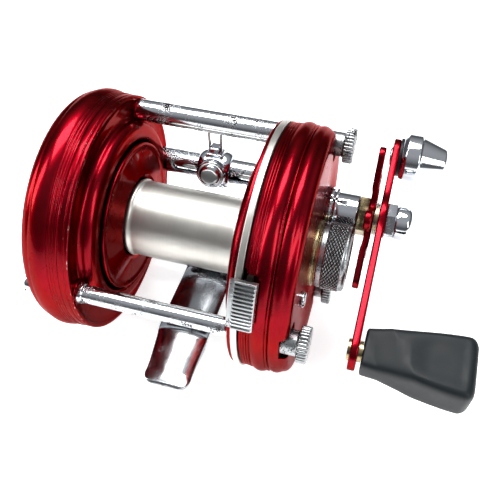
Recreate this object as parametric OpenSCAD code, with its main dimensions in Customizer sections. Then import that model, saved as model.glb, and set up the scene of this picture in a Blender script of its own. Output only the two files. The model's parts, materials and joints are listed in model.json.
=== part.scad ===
// Round baitcasting reel, right-hand drive, built as separate pieces.
// X runs along the spool towards the handle, Y towards the rod tip and Z away from the foot.
// The origin is on the plane that the foot's two tongues rest on, below the middle of the spool.

/* [Frame] */
// Diameter of the two round frame plates
plate_d = 59; // [54:0.5:72]
// Clear distance between the frame plates
frame_gap = 36; // [33:0.5:46]
// Clearance between the frame plates and the reel seat
seat_clearance = 1.5; // [1:0.1:5]
// Diameter of the top pillar
top_pillar_d = 5.4; // [4:0.1:5.8]
// Diameter of the rear pillar and of the two foot pillars
pillar_d = 4.2; // [3.6:0.1:5]

/* [Foot] */
// Length of the foot behind the spool axis
foot_rear = 28; // [24:0.5:34]
// Length of the foot ahead of the spool axis
foot_front = 34; // [28:0.5:40]
// Width of the foot at its middle
foot_w = 14; // [12:0.5:17]

/* [Side cups] */
// Depth of the left cup, from its seam to its outer face
left_cup_depth = 10; // [9.5:0.5:13]
// Depth of the right cup, from its seam to its outer face
right_cup_depth = 10.6; // [10.6:0.1:13]
// How far the crowned bands stand out from the plates' edge
crown = 0.8; // [0.4:0.1:1.2]

/* [Spool] */
// Diameter of the spool's flanges
flange_d = 37.2; // [30:0.2:37.4]
// Diameter of the spool's arbor
arbor_d = 18.8; // [14:0.2:24]

/* [Gears] */
// Module of the main gear pair
main_module = 0.4575; // [0.45:0.0025:0.47]
// Teeth on the drive gear
drive_teeth = 53; // [53:1:53]
// Teeth on the pinion
pinion_teeth = 10; // [10:1:10]
// Module of the level-wind gear pair
wind_module = 0.455; // [0.45:0.005:0.46]
// Teeth on the level-wind driver, on the drive shaft
driver_teeth = 24; // [24:1:24]
// Teeth on the cog of the worm
cog_teeth = 16; // [16:1:16]

/* [Line guide] */
// Width of the line carrier
carrier_w = 9; // [6:0.5:11]
// Where the carrier stands at rest, from the middle of the frame
carrier_x = -1.2; // [-3:0.1:3]
// Diameter of the level-wind tube
tube_d = 6.6; // [6:0.1:7]

/* [Handle] */
// Length of the handle arm from the shaft to the knob
arm_long = 35.2; // [30:0.2:45]
// Length of the handle arm from the shaft to the counterweight
arm_short = 20.2; // [19:0.2:26]
// Thickness of the handle arm
arm_t = 1.8; // [1.5:0.1:2.4]
// How far the counterweight's end of the arm is raised at rest, in degrees
arm_angle = 14; // [-20:1:40]
// Radius of the star wheel
star_r = 18.2; // [14:0.2:18.2]
// Length of the knob
knob_len = 24.4; // [20:0.2:30]
// Width of the knob at its outer end
knob_w = 15.5; // [13:0.5:20]
// Thickness of the knob
knob_t = 11; // [9:0.5:12]

/* [Hidden] */

$fn = 64;
// A tiny overshoot, so that cuts pass right through
cut = 0.5;
// Radial clearance of a shaft that runs in its hole
run_gap = 0.05;
// Radial clearance of two pieces that sit in each other
seat_gap = 0.02;

// Frame
half = frame_gap / 2;
plate_r = plate_d / 2;
axis_height = plate_r + seat_clearance;
plate_t = 2.5;
pillar_circle = plate_r - 3.3;
pillar_angles = [51.5, 181.5, 292.4];
foot_pillar_angle = 247.6;
well_r = plate_r - 10.4;
boss_r = plate_r - 6;
boss_h = 2.6;
tenon_r = 1.5;
tenon_l = 2;
pad_r = 2.9;
pillar_bore_l = 8;
screw_reach = 6;
groove_in_r = boss_r + 0.8;
groove_out_r = plate_r - 1;
groove_depth = 0.7;
spigot_r = plate_r - 1.4;
rim_t = 0.9;
spigot_t = 2.4;
thread_r = 1.2;

// Left cup, measured outwards from the plate's inner face
left_seam = plate_t;
left_face = left_seam + left_cup_depth;
cup_wall = 1.3;
cup_inner_r = plate_r - 1.3;
post_r = 2.6;
left_head_seat = left_face - 1.6;
left_head_r = 2.75;
left_bearing_t0 = left_face - 4.5;
drum_r = 9.2;

// Right cup, measured outwards from the plate's inner face
right_seam = spigot_t + 0.3;
right_face = right_seam + right_cup_depth;
right_inside = right_face - cup_wall;
screw_seat = right_face - 1.8;
screw_shank_r = 2.85;
screw_head_r = 4.1;
screw_shank_l = 3.7;
screw_head_t = 2.4;

// Shape of every gear's teeth: heights in modules, half widths as shares of the tooth spacing
addendum = 0.7;
dedendum = 1.15;
tooth_root = 0.3;
tooth_tip = 0.11;

// Gear train: the drive shaft lies ahead of the spool and a little above it
shaft_distance = main_module * (drive_teeth + pinion_teeth) / 2;
shaft_angle = 4;
shaft_y = shaft_distance * cos(shaft_angle);
shaft_z = shaft_distance * sin(shaft_angle);
wind_distance = wind_module * (driver_teeth + cog_teeth) / 2;
wind_angle = -7.2;
tube_y = shaft_y + wind_distance * cos(wind_angle);
tube_z = shaft_z + wind_distance * sin(wind_angle);

// Stack on the drive shaft, measured outwards from the right plate's inner face
bridge_t0 = 2.6;
bridge_t1 = 3.6;
wind_t0 = 3.9;
wind_t1 = 5.1;
ratchet_t0 = 5.5;
ratchet_t1 = 6.4;
gear_t0 = 7.0;
gear_t1 = 9.2;
recess_t0 = 8.0;
washer_r = 9.4;
washer_step = 0.4;
pressure_t1 = 9.95;
sleeve_r = 5.2;
sleeve_end = right_face + 7.6;
nut_t1 = sleeve_end + 2.5;
star_t1 = nut_t1 + 1.6;
arm_t0 = star_t1 + 1;
arm_t1 = arm_t0 + arm_t;
hex_t1 = arm_t1 + 2.5;
cover_t1 = hex_t1 + 4.1;
shaft_r = 2.9;
shaft_end_r = 2.4;
ratchet_teeth = 12;
ratchet_root_r = 6.2;
ratchet_tip_r = 7.5;
ratchet_phase = 79;
star_phase = 66.7;

// Spool
flange_out = 2.2;
arbor_r = arbor_d / 2;
arbor_in = 3.3;
hollow_l = 9;
spool_shaft_r = 2;
journal_r = 1.25;
bearing_r = 5;
bearing_t = 2.5;

// Tension cap
collar_r = 7.1;
flange_r = 8;
cap_r = 8.1;
cap_t0 = right_face + 1.1;
cap_t1 = cap_t0 + 7;
collar_end = cap_t0 + 3.6;

// Line guide
tube_r = tube_d / 2;
tube_bore = tube_r - 0.7;
worm_r = tube_bore - 0.3;
worm_journal_r = 1.4;
carrier_r = 5;
pawl_angle = 160;
cap_seat_r = 5.9;
pawl_boss_r = 2.95;

// Thumb lever
lever_r0 = plate_r - 3.9;
lever_r1 = plate_r - 1.6;
pad_r0 = plate_r + 1.4;
pad_r1 = plate_r + 3.2;
pad_t0 = 0.4;
pad_t1 = 6.3;
last_rib = 9;
pad_a0 = 150;
pad_a1 = 167.5;

// Handle
arm_end_r = 4.6;
knob_pivot_y = shaft_y - arm_long * cos(arm_angle);
knob_pivot_z = shaft_z - arm_long * sin(arm_angle);
weight_y = shaft_y + arm_short * cos(arm_angle);
weight_z = shaft_z + arm_short * sin(arm_angle);
knob_roll = 9;

// ---- Shared shapes ----

// Points of an arc in a flat outline
function arc(cx, cy, r, a0, a1, n = 8) =
    [for (i = [0:n]) [cx + r * cos(a0 + (a1 - a0) * i / n), cy + r * sin(a0 + (a1 - a0) * i / n)]];

// Points of a shallow crown between two axial places, standing h out from radius r
function band(r, t0, t1, h, n = 8) =
    [for (i = [0:n]) [r + h * sin(180 * i / n), t0 + (t1 - t0) * i / n]];

// Outline of a gear with straight-sided, slightly thin teeth and one tooth along +X
function gear_points(teeth, m) =
    let (pitch = m * teeth / 2, step = 360 / teeth)
    [for (i = [0:teeth - 1], k = [0:3])
        let (radius = (k == 0 || k == 3) ? pitch - dedendum * m : pitch + addendum * m,
            share = [-tooth_root, -tooth_tip, tooth_tip, tooth_root][k])
        [radius * cos(step * (i + share)), radius * sin(step * (i + share))]];

// The spool axis is the part's working axis: children are drawn about it
module raised() {
    translate([0, 0, axis_height]) children();
}

// Turns a shape drawn in YZ, with its height outwards, onto the right or the left plate
module right_side(t = 0, y = 0, z = 0) {
    translate([half + t, y, z]) rotate([90, 0, 90]) children();
}

module left_side(t = 0, y = 0, z = 0) {
    mirror([1, 0, 0]) right_side(t, y, z) children();
}

module rod(r, t0, t1) {
    translate([0, 0, t0]) cylinder(r = r, h = t1 - t0);
}

module ring(r0, r1, t0, t1) {
    difference() {
        rod(r1, t0, t1);
        rod(r0, t0 - cut, t1 + cut);
    }
}

module polar(r, a) {
    translate([r * cos(a), r * sin(a), 0]) children();
}

// A sector of a ring, between two angles less than 180 degrees apart
module sector(r0, r1, a0, a1, t0, t1) {
    reach = 2 * r1;
    intersection() {
        ring(r0, r1, t0, t1);
        translate([0, 0, t0])
            linear_extrude(t1 - t0)
            polygon([[0, 0], [reach * cos(a0), reach * sin(a0)],
                [reach * cos((a0 + a1) / 2), reach * sin((a0 + a1) / 2)],
                [reach * cos(a1), reach * sin(a1)]]);
    }
}

// Closed coil spring along Z
module coil(r, wire_r, length, turns) {
    sides = 6;
    steps = 16 * turns;
    points = [for (i = [0:steps], k = [0:sides - 1])
        let (a = 360 * turns * i / steps, b = 360 * k / sides, d = r + wire_r * cos(b))
        [d * cos(a), d * sin(a), wire_r + (length - 2 * wire_r) * i / steps + wire_r * sin(b)]];
    side_faces = [for (i = [0:steps - 1], k = [0:sides - 1])
        let (n = (k + 1) % sides)
        [i * sides + k, (i + 1) * sides + k, (i + 1) * sides + n, i * sides + n]];
    start = [for (k = [0:sides - 1]) k];
    end = [for (k = [sides - 1:-1:0]) steps * sides + k];
    polyhedron(points, concat(side_faces, [start, end]));
}

// ---- Frame ----

// A frame plate: a ring with a rounded boss about the spool well and a pad under each pillar
module frame_plate(outline, hole_r) {
    boss = [[well_r, 0], [well_r, -boss_h + 0.6], [well_r + 0.5, -boss_h], [boss_r - 2.2, -boss_h],
        [boss_r - 0.9, -boss_h + 0.5], [boss_r - 0.2, -boss_h + 1.3], [boss_r, 0]];
    back_t = outline[len(outline) - 1][1];
    difference() {
        union() {
            difference() {
                rotate_extrude() polygon(concat([[well_r, 0]], outline, [[well_r, back_t]]));
                ring(groove_in_r, groove_out_r, -cut, groove_depth);
            }
            rotate_extrude() polygon(boss);
            for (a = concat(pillar_angles, [foot_pillar_angle]))
                polar(pillar_circle, a) rod(pad_r, 0, groove_depth + 0.1);
        }
        for (a = concat(pillar_angles, [foot_pillar_angle]))
            polar(pillar_circle, a) rod(hole_r, -cut, plate_t + cut);
        translate([tube_y, tube_z, 0]) rod(tube_r + seat_gap, -boss_h - cut, plate_t + cut);
    }
}

module left_frame_plate() {
    color("darkred") raised() mirror([1, 0, 0]) right_side()
        frame_plate([[plate_r - 0.25, 0], [plate_r, 0.25], [plate_r, 1.0], [plate_r - 0.15, 1.15],
            [plate_r, 1.3], [plate_r, plate_t]], tenon_r);
}

module right_frame_plate() {
    color("darkred") raised() right_side()
        frame_plate([[plate_r - 0.25, 0], [plate_r, 0.25], [plate_r, rim_t], [spigot_r, rim_t],
            [spigot_r, spigot_t]], tenon_r);
}

// A pillar between the plates, bored at both ends for its screws
module pillar(r, a) {
    raised() translate([-half, pillar_circle * cos(a), pillar_circle * sin(a)]) rotate([90, 0, 90])
        difference() {
            rod(r, 0, frame_gap);
            rod(thread_r + run_gap, -cut, pillar_bore_l);
            rod(thread_r + run_gap, frame_gap - pillar_bore_l, frame_gap + cut);
        }
}

module top_pillar() { color("silver") pillar(top_pillar_d / 2, pillar_angles[0]); }

module rear_pillar() { color("silver") pillar(pillar_d / 2, pillar_angles[1]); }

module foot_pillar_front() { color("silver") pillar(pillar_d / 2, pillar_angles[2]); }

// The rear foot pillar has no screws: its tenons are pressed into both plates
module foot_pillar_rear() {
    color("silver") raised()
        translate([0, pillar_circle * cos(foot_pillar_angle), pillar_circle * sin(foot_pillar_angle)])
        rotate([90, 0, 90]) {
            rod(pillar_d / 2, -half, half);
            rod(tenon_r - seat_gap, -half - tenon_l, half + tenon_l);
        }
}

foot_top = axis_height + pillar_circle * sin(foot_pillar_angle) - pillar_d / 2;
foot_pillar_y = pillar_circle * cos(foot_pillar_angle);
foot_t = 1.7;
// The foot is raised between these distances from the spool axis
ramp_in = abs(foot_pillar_y) + 2.5;
ramp_out = ramp_in + 3;
tip_t = 1.3;
rivet_x = foot_w * 0.3;
rivet_r = 1.1;

// The foot: a stamped strip, raised under the pillars, with a tongue at each end
module foot() {
    side = foot_w / 2;
    tip = side - 0.8;
    corner = 3;
    plan = concat([[side, -ramp_in], [side, ramp_in]],
        arc(tip - corner, foot_front - corner, corner, 0, 90),
        arc(-tip + corner, foot_front - corner, corner, 90, 180), [[-side, ramp_in], [-side, -ramp_in]],
        arc(-tip + corner, -foot_rear + corner, corner, 180, 270),
        arc(tip - corner, -foot_rear + corner, corner, 270, 360));
    profile = [[-foot_rear, 0], [-ramp_out, 0], [-ramp_in, foot_top - foot_t], [ramp_in, foot_top - foot_t],
        [ramp_out, 0], [foot_front, 0], [foot_front, tip_t], [ramp_in + 0.5, foot_top],
        [-ramp_in - 0.5, foot_top], [-foot_rear, tip_t]];
    color("silver") difference() {
        intersection() {
            linear_extrude(foot_top + cut) polygon(plan);
            translate([-foot_w, 0, 0]) rotate([90, 0, 90]) linear_extrude(2 * foot_w) polygon(profile);
        }
        for (x = [-rivet_x, rivet_x], y = [-foot_pillar_y, foot_pillar_y])
            translate([x, y, 0]) rod(rivet_r, -cut, foot_top + cut);
    }
}

// Four rivets hold the foot to its two pillars
module foot_rivets() {
    color("dimgray") for (x = [-rivet_x, rivet_x], y = [-foot_pillar_y, foot_pillar_y])
        translate([x, y, foot_top - foot_t]) {
            rod(rivet_r - seat_gap, -0.1, foot_t - 0.15);
            rod(1.9, -0.7, 0);
        }
}

module trim_ring() {
    color("lightgray") raised() right_side() rotate_extrude()
        polygon([[spigot_r + seat_gap, rim_t], [plate_r + 0.3, rim_t], [plate_r + 0.4, rim_t + 0.15],
            [plate_r + 0.4, spigot_t - 0.15], [plate_r + 0.3, spigot_t], [spigot_r + seat_gap, spigot_t]]);
}

// ---- Left cup ----

module left_cup() {
    shoulder = arc(plate_r - 4.6, left_face - 4.4, 4.4, 0, 90, 8);
    outer = concat([[plate_r - 0.3, left_seam], [plate_r, left_seam + 0.3]],
        band(plate_r, left_seam + 0.5, left_face - 5.2, crown),
        band(plate_r - 0.05, left_face - 5.1, left_face - 4.5, 0.25, 4), shoulder);
    inner = [[0, left_face], [0, left_face - cup_wall], [cup_inner_r - 3.5, left_face - cup_wall],
        [cup_inner_r, left_face - cup_wall - 3.5], [cup_inner_r, left_seam]];
    color("firebrick") raised() left_side() difference() {
        union() {
            rotate_extrude() polygon(concat(outer, inner));
            for (a = pillar_angles)
                polar(pillar_circle, a) rod(post_r, left_seam, left_head_seat + 0.1);
            ring(bearing_r + seat_gap, bearing_r + 1.6, left_face - 5, left_face - cup_wall + 0.1);
        }
        for (a = pillar_angles) polar(pillar_circle, a) {
            rod(thread_r + run_gap, left_seam - cut, left_face);
            rod(left_head_r + 0.3, left_head_seat, left_face + cut);
        }
    }
}

module left_screws() {
    color("silver") raised() left_side() for (a = pillar_angles) polar(pillar_circle, a)
        difference() {
            union() {
                rod(thread_r, -screw_reach, left_head_seat);
                rod(left_head_r, left_head_seat, left_head_seat + 2.1);
            }
            translate([-3, -0.4, left_head_seat + 1.3]) cube([6, 0.8, 2]);
        }
}

module left_bearing() {
    color("gray") raised() left_side()
        ring(journal_r + seat_gap, bearing_r, left_bearing_t0, left_bearing_t0 + bearing_t);
}

module brake_drum() {
    color("tan") raised() left_side() ring(drum_r, drum_r + 1, 1, left_face - cup_wall);
}

// ---- Right cup ----

// The slot that the thumb lever's arm passes through, in the cup's open edge
slot_a0 = 142.5;
slot_a1 = 157;
slot_t = 3.6;
bridge_screw_circle = 20;
bridge_screw_angles = [105, 215, 310];
bridge_screw_r = 0.95;
face_screw_r = 16;
face_screw_a = 175;
small_boss_r = 1.9;

module right_cup() {
    shoulder = arc(plate_r - 3.1, right_face - 1.6, 1.6, 20, 90, 6);
    outer = concat([[plate_r - 0.4, right_seam], [plate_r - 0.1, right_seam + 0.3],
            [plate_r - 0.1, right_seam + 0.5], [plate_r - 0.25, right_seam + 0.65],
            [plate_r - 0.1, right_seam + 0.8], [plate_r - 0.1, right_seam + 1.2]],
        band(plate_r - 0.1, right_seam + 1.3, right_seam + 5.6, crown + 0.1),
        band(plate_r - 0.35, right_seam + 5.9, right_face - 1.9, crown - 0.15, 6), shoulder);
    inner = [[0, right_face], [0, right_inside], [cup_inner_r - 1.8, right_inside],
        [cup_inner_r, right_inside - 1.8], [cup_inner_r, right_seam]];
    color("firebrick") raised() right_side() difference() {
        union() {
            rotate_extrude() polygon(concat(outer, inner));
            for (a = pillar_angles)
                polar(pillar_circle, a) rod(post_r, spigot_t, right_inside + 0.1);
            for (a = bridge_screw_angles)
                polar(bridge_screw_circle, a) rod(small_boss_r, bridge_t1, right_inside + 0.1);
            polar(face_screw_r, face_screw_a) rod(small_boss_r, right_inside - 2.5, right_inside + 0.1);
        }
        for (a = pillar_angles) polar(pillar_circle, a) {
            rod(thread_r + run_gap, spigot_t - cut, right_face + cut);
            rod(screw_head_r + 0.2, screw_seat, right_face + cut);
        }
        for (a = bridge_screw_angles)
            polar(bridge_screw_circle, a) rod(bridge_screw_r, bridge_t1 - cut, right_inside - 1);
        polar(face_screw_r, face_screw_a) rod(1, right_inside - 3, right_face + cut);
        rod(collar_r + seat_gap, right_inside - cut, right_face + cut);
        translate([shaft_y, shaft_z, 0]) rod(sleeve_r + seat_gap, right_inside - cut, right_face + cut);
        sector(cup_inner_r - cut, plate_r + 3, slot_a0, slot_a1, right_seam - cut, right_seam + slot_t);
    }
}

// A knurled take-down screw: its thread runs through the cup and the plate into a pillar
module takedown_screw(a) {
    head = screw_seat + screw_shank_l;
    color("silver") raised() right_side() polar(pillar_circle, a) {
        rod(thread_r, -screw_reach, screw_seat);
        rod(screw_shank_r, screw_seat, head);
        rod(screw_head_r, head, head + screw_head_t);
    }
}

module takedown_screw_top() { takedown_screw(pillar_angles[0]); }

module takedown_screw_rear() { takedown_screw(pillar_angles[1]); }

module takedown_screw_front() { takedown_screw(pillar_angles[2]); }

module face_screw() {
    color("silver") raised() right_side() polar(face_screw_r, face_screw_a) difference() {
        union() {
            rod(1 - seat_gap, right_inside - 2.5, right_face);
            rod(2.1, right_face, right_face + 0.9);
        }
        translate([-3, -0.3, right_face + 0.45]) cube([6, 0.6, 1]);
    }
}

// The bridge closes the cup's open side and carries the clutch, the dog and the shaft's inner end
dog_y = 9;
dog_z = 17.5;
yoke_post_circle = 8.5;
yoke_post_r = 0.9;
dog_pin_r = 0.9;
yoke_t0 = 4.6;
yoke_t = 0.8;
pinion_r = 2.6;
pinion_neck_r = 1.75;

module bridge_plate() {
    color("lightgray") raised() right_side() difference() {
        union() {
            rod(22.5, bridge_t0, bridge_t1);
            for (s = [-1, 1])
                polar(yoke_post_circle, shaft_angle + s * 90)
                    rod(yoke_post_r, bridge_t1 - 0.1, right_inside - 0.1);
            translate([dog_y, dog_z, 0]) rod(dog_pin_r, bridge_t1 - 0.1, ratchet_t1 + 0.4);
        }
        rod(4, bridge_t0 - cut, bridge_t1 + cut);
        translate([shaft_y, shaft_z, 0]) rod(1.5 + run_gap, bridge_t0 - cut, bridge_t1 + cut);
        translate([tube_y, tube_z, 0]) rod(2.2, bridge_t0 - cut, bridge_t1 + cut);
        for (a = bridge_screw_angles) polar(bridge_screw_circle, a) {
            rod(bridge_screw_r, bridge_t0 - cut, bridge_t1 + cut);
            rod(1.65, bridge_t0 - cut, bridge_t0 + 0.5);
        }
    }
}

module bridge_screws() {
    color("silver") raised() right_side() for (a = bridge_screw_angles)
        polar(bridge_screw_circle, a) {
            rod(bridge_screw_r - seat_gap, bridge_t0, right_inside - 2);
            rod(1.6, bridge_t0, bridge_t0 + 0.5);
        }
}

// ---- Spool ----

module spool_arbor() {
    color("silver") raised() translate([-half, 0, 0]) rotate([90, 0, 90])
        difference() {
            rod(arbor_r, arbor_in, frame_gap - arbor_in);
            rod(spool_shaft_r + seat_gap, 0, frame_gap);
            ring(spool_shaft_r + 2, arbor_r - 1.2, 0, arbor_in + hollow_l);
            ring(spool_shaft_r + 2, arbor_r - 1.2, frame_gap - arbor_in - hollow_l, frame_gap);
        }
}

// Dished discs with a rolled rim, one at each end of the arbor
module spool_flanges() {
    rim_r = flange_d / 2;
    outline = [[arbor_r + 0.02, arbor_in + 1.3], [arbor_r + 0.02, arbor_in], [rim_r - 3, flange_out],
        [rim_r - 0.4, flange_out], [rim_r, flange_out + 0.3], [rim_r, flange_out + 0.8],
        [rim_r - 0.4, flange_out + 1.1], [rim_r - 1.4, flange_out + 1.0], [arbor_r + 1.2, arbor_in + 0.9]];
    color("darkred") raised() for (side = [0, 1]) mirror([side, 0, 0])
        translate([-half, 0, 0]) rotate([90, 0, 90]) rotate_extrude() polygon(outline);
}

module spool_shaft() {
    color("silver") raised() translate([-half, 0, 0]) rotate([90, 0, 90]) {
        rod(journal_r, -left_face + 1.6, frame_gap + cap_t1 - 2.6);
        rod(spool_shaft_r, 0.5, frame_gap - 0.5);
        translate([0, 0, frame_gap + 3.9]) rotate([90, 0, 0]) translate([0, 0, -2.2])
            cylinder(r = 0.35, h = 4.4);
    }
}

// Places and sizes of the centrifugal brake, from the left plate's inner face and the spool axis
brake_t = 2.6;
brake_pin_r = 0.4;
block_in = 6.2;
block_out = drum_r - 0.8;

module brake_holder() {
    color("ivory") raised() left_side(brake_t) difference() {
        union() {
            rod(block_in - 0.3, -1, 1);
            for (s = [-1, 1]) rotate([-90 * s, 0, 0]) rod(brake_pin_r, block_in - 1, block_out + 0.3);
        }
        rod(journal_r + seat_gap, -1 - cut, 1 + cut);
    }
}

// The blocks slide out along their pins and rub on the drum
module brake_block(s) {
    color("saddlebrown") raised() left_side(brake_t) rotate([-90 * s, 0, 0])
        ring(brake_pin_r + run_gap, brake_pin_r + 0.8, block_in, block_out);
}

module brake_block_upper() { brake_block(1); }

module brake_block_lower() { brake_block(-1); }

// ---- Clutch ----

module pinion() {
    color("goldenrod") raised() right_side() difference() {
        union() {
            rod(pinion_r, 3.5, yoke_t0 - 0.1);
            rod(pinion_neck_r, yoke_t0 - 0.2, yoke_t0 + yoke_t + 0.2);
            rod(pinion_r, yoke_t0 + yoke_t + 0.1, 5.6);
            translate([0, 0, 5.5]) linear_extrude(5.1) rotate(shaft_angle)
                polygon(gear_points(pinion_teeth, main_module));
        }
        rod(journal_r + run_gap, 3, 12);
        translate([-0.5, -3, 3]) cube([1, 6, 1.45]);
    }
}

// The yoke straddles the pinion's neck and slides on two posts, which its springs also sit on
module pinion_yoke() {
    eye_r = 2.2;
    neck_gap_r = pinion_neck_r + 0.08;
    color("khaki") raised() right_side() difference() {
        translate([0, 0, yoke_t0]) linear_extrude(yoke_t) difference() {
            rotate(shaft_angle) union() {
                translate([-eye_r, -yoke_post_circle]) square([2 * eye_r, 2 * yoke_post_circle]);
                for (s = [-1, 1]) translate([0, s * yoke_post_circle]) circle(eye_r);
                circle(3.4);
            }
            circle(neck_gap_r);
            rotate(shaft_angle + 180) translate([0, -neck_gap_r]) square([5, 2 * neck_gap_r]);
        }
        for (s = [-1, 1])
            polar(yoke_post_circle, shaft_angle + s * 90) rod(yoke_post_r + run_gap, 4, 6);
    }
}

module yoke_springs() {
    spring_t0 = yoke_t0 + yoke_t + 1.45;
    color("gray") raised() right_side() for (s = [-1, 1])
        polar(yoke_post_circle, shaft_angle + s * 90) translate([0, 0, spring_t0])
        coil(1.45, 0.2, right_inside - 0.9 - spring_t0, 4);
}

// ---- Drive shaft and drag ----

module on_shaft() {
    raised() right_side(0, shaft_y, shaft_z) children();
}

module drive_shaft() {
    color("silver") on_shaft() {
        rod(1.5, bridge_t0, bridge_t1 + 0.2);
        rod(shaft_r, bridge_t1 + 0.1, arm_t0);
        rod(shaft_end_r, arm_t0 - 0.1, hex_t1 + 1.4);
    }
}

module wind_driver_gear() {
    color("goldenrod") on_shaft() translate([0, 0, wind_t0]) linear_extrude(wind_t1 - wind_t0)
        difference() {
            rotate(wind_angle) polygon(gear_points(driver_teeth, wind_module));
            circle(shaft_r + seat_gap);
        }
}

module ratchet_wheel() {
    step = 360 / ratchet_teeth;
    points = [for (i = [0:ratchet_teeth - 1], k = [0:1])
        let (r = k == 0 ? ratchet_root_r : ratchet_tip_r,
            a = ratchet_phase + step * (i + 0.5) - (k == 0 ? 1 : -1))
        [r * cos(a), r * sin(a)]];
    color("gray") on_shaft() translate([0, 0, ratchet_t0]) linear_extrude(ratchet_t1 - ratchet_t0)
        difference() {
            polygon(points);
            circle(shaft_r + seat_gap);
        }
}

module drive_gear() {
    color("goldenrod") on_shaft() difference() {
        translate([0, 0, gear_t0]) linear_extrude(gear_t1 - gear_t0)
            rotate(shaft_angle + 180 / drive_teeth + 180) polygon(gear_points(drive_teeth, main_module));
        rod(shaft_r + seat_gap, gear_t0 - cut, gear_t1 + cut);
        rod(washer_r + 0.2, recess_t0, gear_t1 + cut);
    }
}

module drag_washers() {
    color("saddlebrown") on_shaft() for (i = [0:2])
        translate([0, 0, recess_t0 + i * washer_step])
        ring(shaft_r + 0.2, washer_r, 0, washer_step - 0.02);
}

module pressure_washer() {
    color("silver") on_shaft()
        ring(shaft_r + seat_gap, washer_r - 0.6, recess_t0 + 3 * washer_step + 0.02, pressure_t1);
}

module drag_sleeve() {
    color("silver") on_shaft() ring(shaft_r + seat_gap, 4.2, pressure_t1, sleeve_end);
}

module anti_reverse_dog() {
    reach = [16 - dog_y, shaft_z + ratchet_tip_r + 0.4 - dog_z];
    lean = atan2(reach[1], reach[0]);
    color("gray") raised() right_side(ratchet_t0, dog_y, dog_z)
        linear_extrude(ratchet_t1 - ratchet_t0) difference() {
            union() {
                circle(2);
                rotate(lean) translate([0, -0.9]) square([norm(reach) - 0.3, 1.8]);
            }
            circle(dog_pin_r + run_gap);
        }
}

module shaft_sleeve() {
    color("silver") on_shaft() difference() {
        union() {
            rod(sleeve_r, right_inside - 0.1, sleeve_end);
            rod(sleeve_r + 1, right_inside - 0.8, right_inside);
        }
        rod(4.3, 0, sleeve_end + cut);
    }
}

module sleeve_ring() {
    color("dimgray") on_shaft() ring(sleeve_r + seat_gap, 5.9, right_face, right_face + 1.1);
}

module star_nut() {
    color("goldenrod") on_shaft() difference() {
        translate([0, 0, sleeve_end]) cylinder(r = 5, h = nut_t1 - sleeve_end, $fn = 6);
        rod(shaft_r + run_gap, sleeve_end - cut, nut_t1 + cut);
    }
}

module star_arms(arm) {
    for (i = [0:4]) rotate(star_phase + 72 * i) polygon(arm);
}

// Five arms with round tips, set down towards the cup from a raised hub
module star_wheel() {
    tip_r = 2.4;
    hub_r = 4.8;
    step_r = 8;
    step_t = 0.5;
    arm = concat([[2, -2.6], [star_r - tip_r - 0.5, -2.1]],
        arc(star_r - tip_r, 0, tip_r, -80, 80, 10), [[star_r - tip_r - 0.5, 2.1], [2, 2.6]]);
    color("firebrick") on_shaft() difference() {
        union() {
            translate([0, 0, nut_t1]) linear_extrude(star_t1 - nut_t1) intersection() {
                union() {
                    circle(hub_r);
                    star_arms(arm);
                }
                circle(step_r);
            }
            translate([0, 0, nut_t1 - step_t]) linear_extrude(star_t1 - nut_t1) difference() {
                star_arms(arm);
                circle(step_r - 1.5);
            }
        }
        rod(shaft_r + run_gap, nut_t1 - cut, star_t1 + cut);
    }
}

module spring_washers() {
    color("goldenrod") on_shaft() for (i = [0, 1])
        ring(shaft_r + 0.1, 4.1, star_t1 + 0.12 + i * 0.43, star_t1 + 0.47 + i * 0.43);
}

// ---- Handle ----

module handle_arm() {
    color("firebrick") on_shaft() translate([0, 0, arm_t0]) linear_extrude(arm_t) rotate(arm_angle)
        difference() {
            union() {
                circle(6);
                polygon([[-arm_long, -arm_end_r], [0, -5.4], [arm_short, -arm_end_r],
                    [arm_short, arm_end_r], [0, 5.4], [-arm_long, arm_end_r]]);
                translate([arm_short, 0]) circle(arm_end_r);
                translate([-arm_long, 0]) circle(arm_end_r);
            }
            circle(shaft_end_r + seat_gap);
            translate([arm_short, 0]) circle(1.6 + seat_gap);
            translate([-arm_long, 0]) circle(2 + seat_gap);
        }
}

module handle_nut() {
    color("gray") on_shaft() difference() {
        translate([0, 0, arm_t1]) cylinder(r = 4.5, h = hex_t1 - arm_t1, $fn = 6);
        rod(shaft_end_r + seat_gap, arm_t1 - cut, hex_t1 + cut);
    }
}

module nut_cover() {
    color("silver") on_shaft() difference() {
        rotate_extrude() polygon(concat([[0, hex_t1], [4.2, hex_t1], [4.2, cover_t1 - 1.2]],
            arc(3, cover_t1 - 1.2, 1.2, 0, 90, 5), [[0, cover_t1]]));
        rod(shaft_end_r + run_gap, hex_t1 - cut, hex_t1 + 1.6);
    }
}

// A turned weight with a black base, its rivet through the arm
module counterweight() {
    t = arm_t1;
    color("silver") raised() right_side(0, weight_y, weight_z) {
        rotate_extrude() polygon([[0, t], [5, t], [5, t + 0.8], [5.6, t + 0.8], [6.5, t + 1.9],
            [6.5, t + 5.2], [6.1, t + 5.6], [4, t + 11.7], [3.5, t + 12.2], [0, t + 12.2]]);
        rod(1.6, arm_t0 - 0.1, t + 0.1);
        rod(2.5, arm_t0 - 0.65, arm_t0);
    }
}

module knob_spindle() {
    color("goldenrod") raised() right_side(0, knob_pivot_y, knob_pivot_z) {
        rod(2, arm_t0 - 0.1, arm_t1 + knob_len - 4);
        rod(2.5, arm_t0 - 0.65, arm_t0);
        rod(2.5, arm_t1, arm_t1 + 0.9);
    }
}

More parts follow.
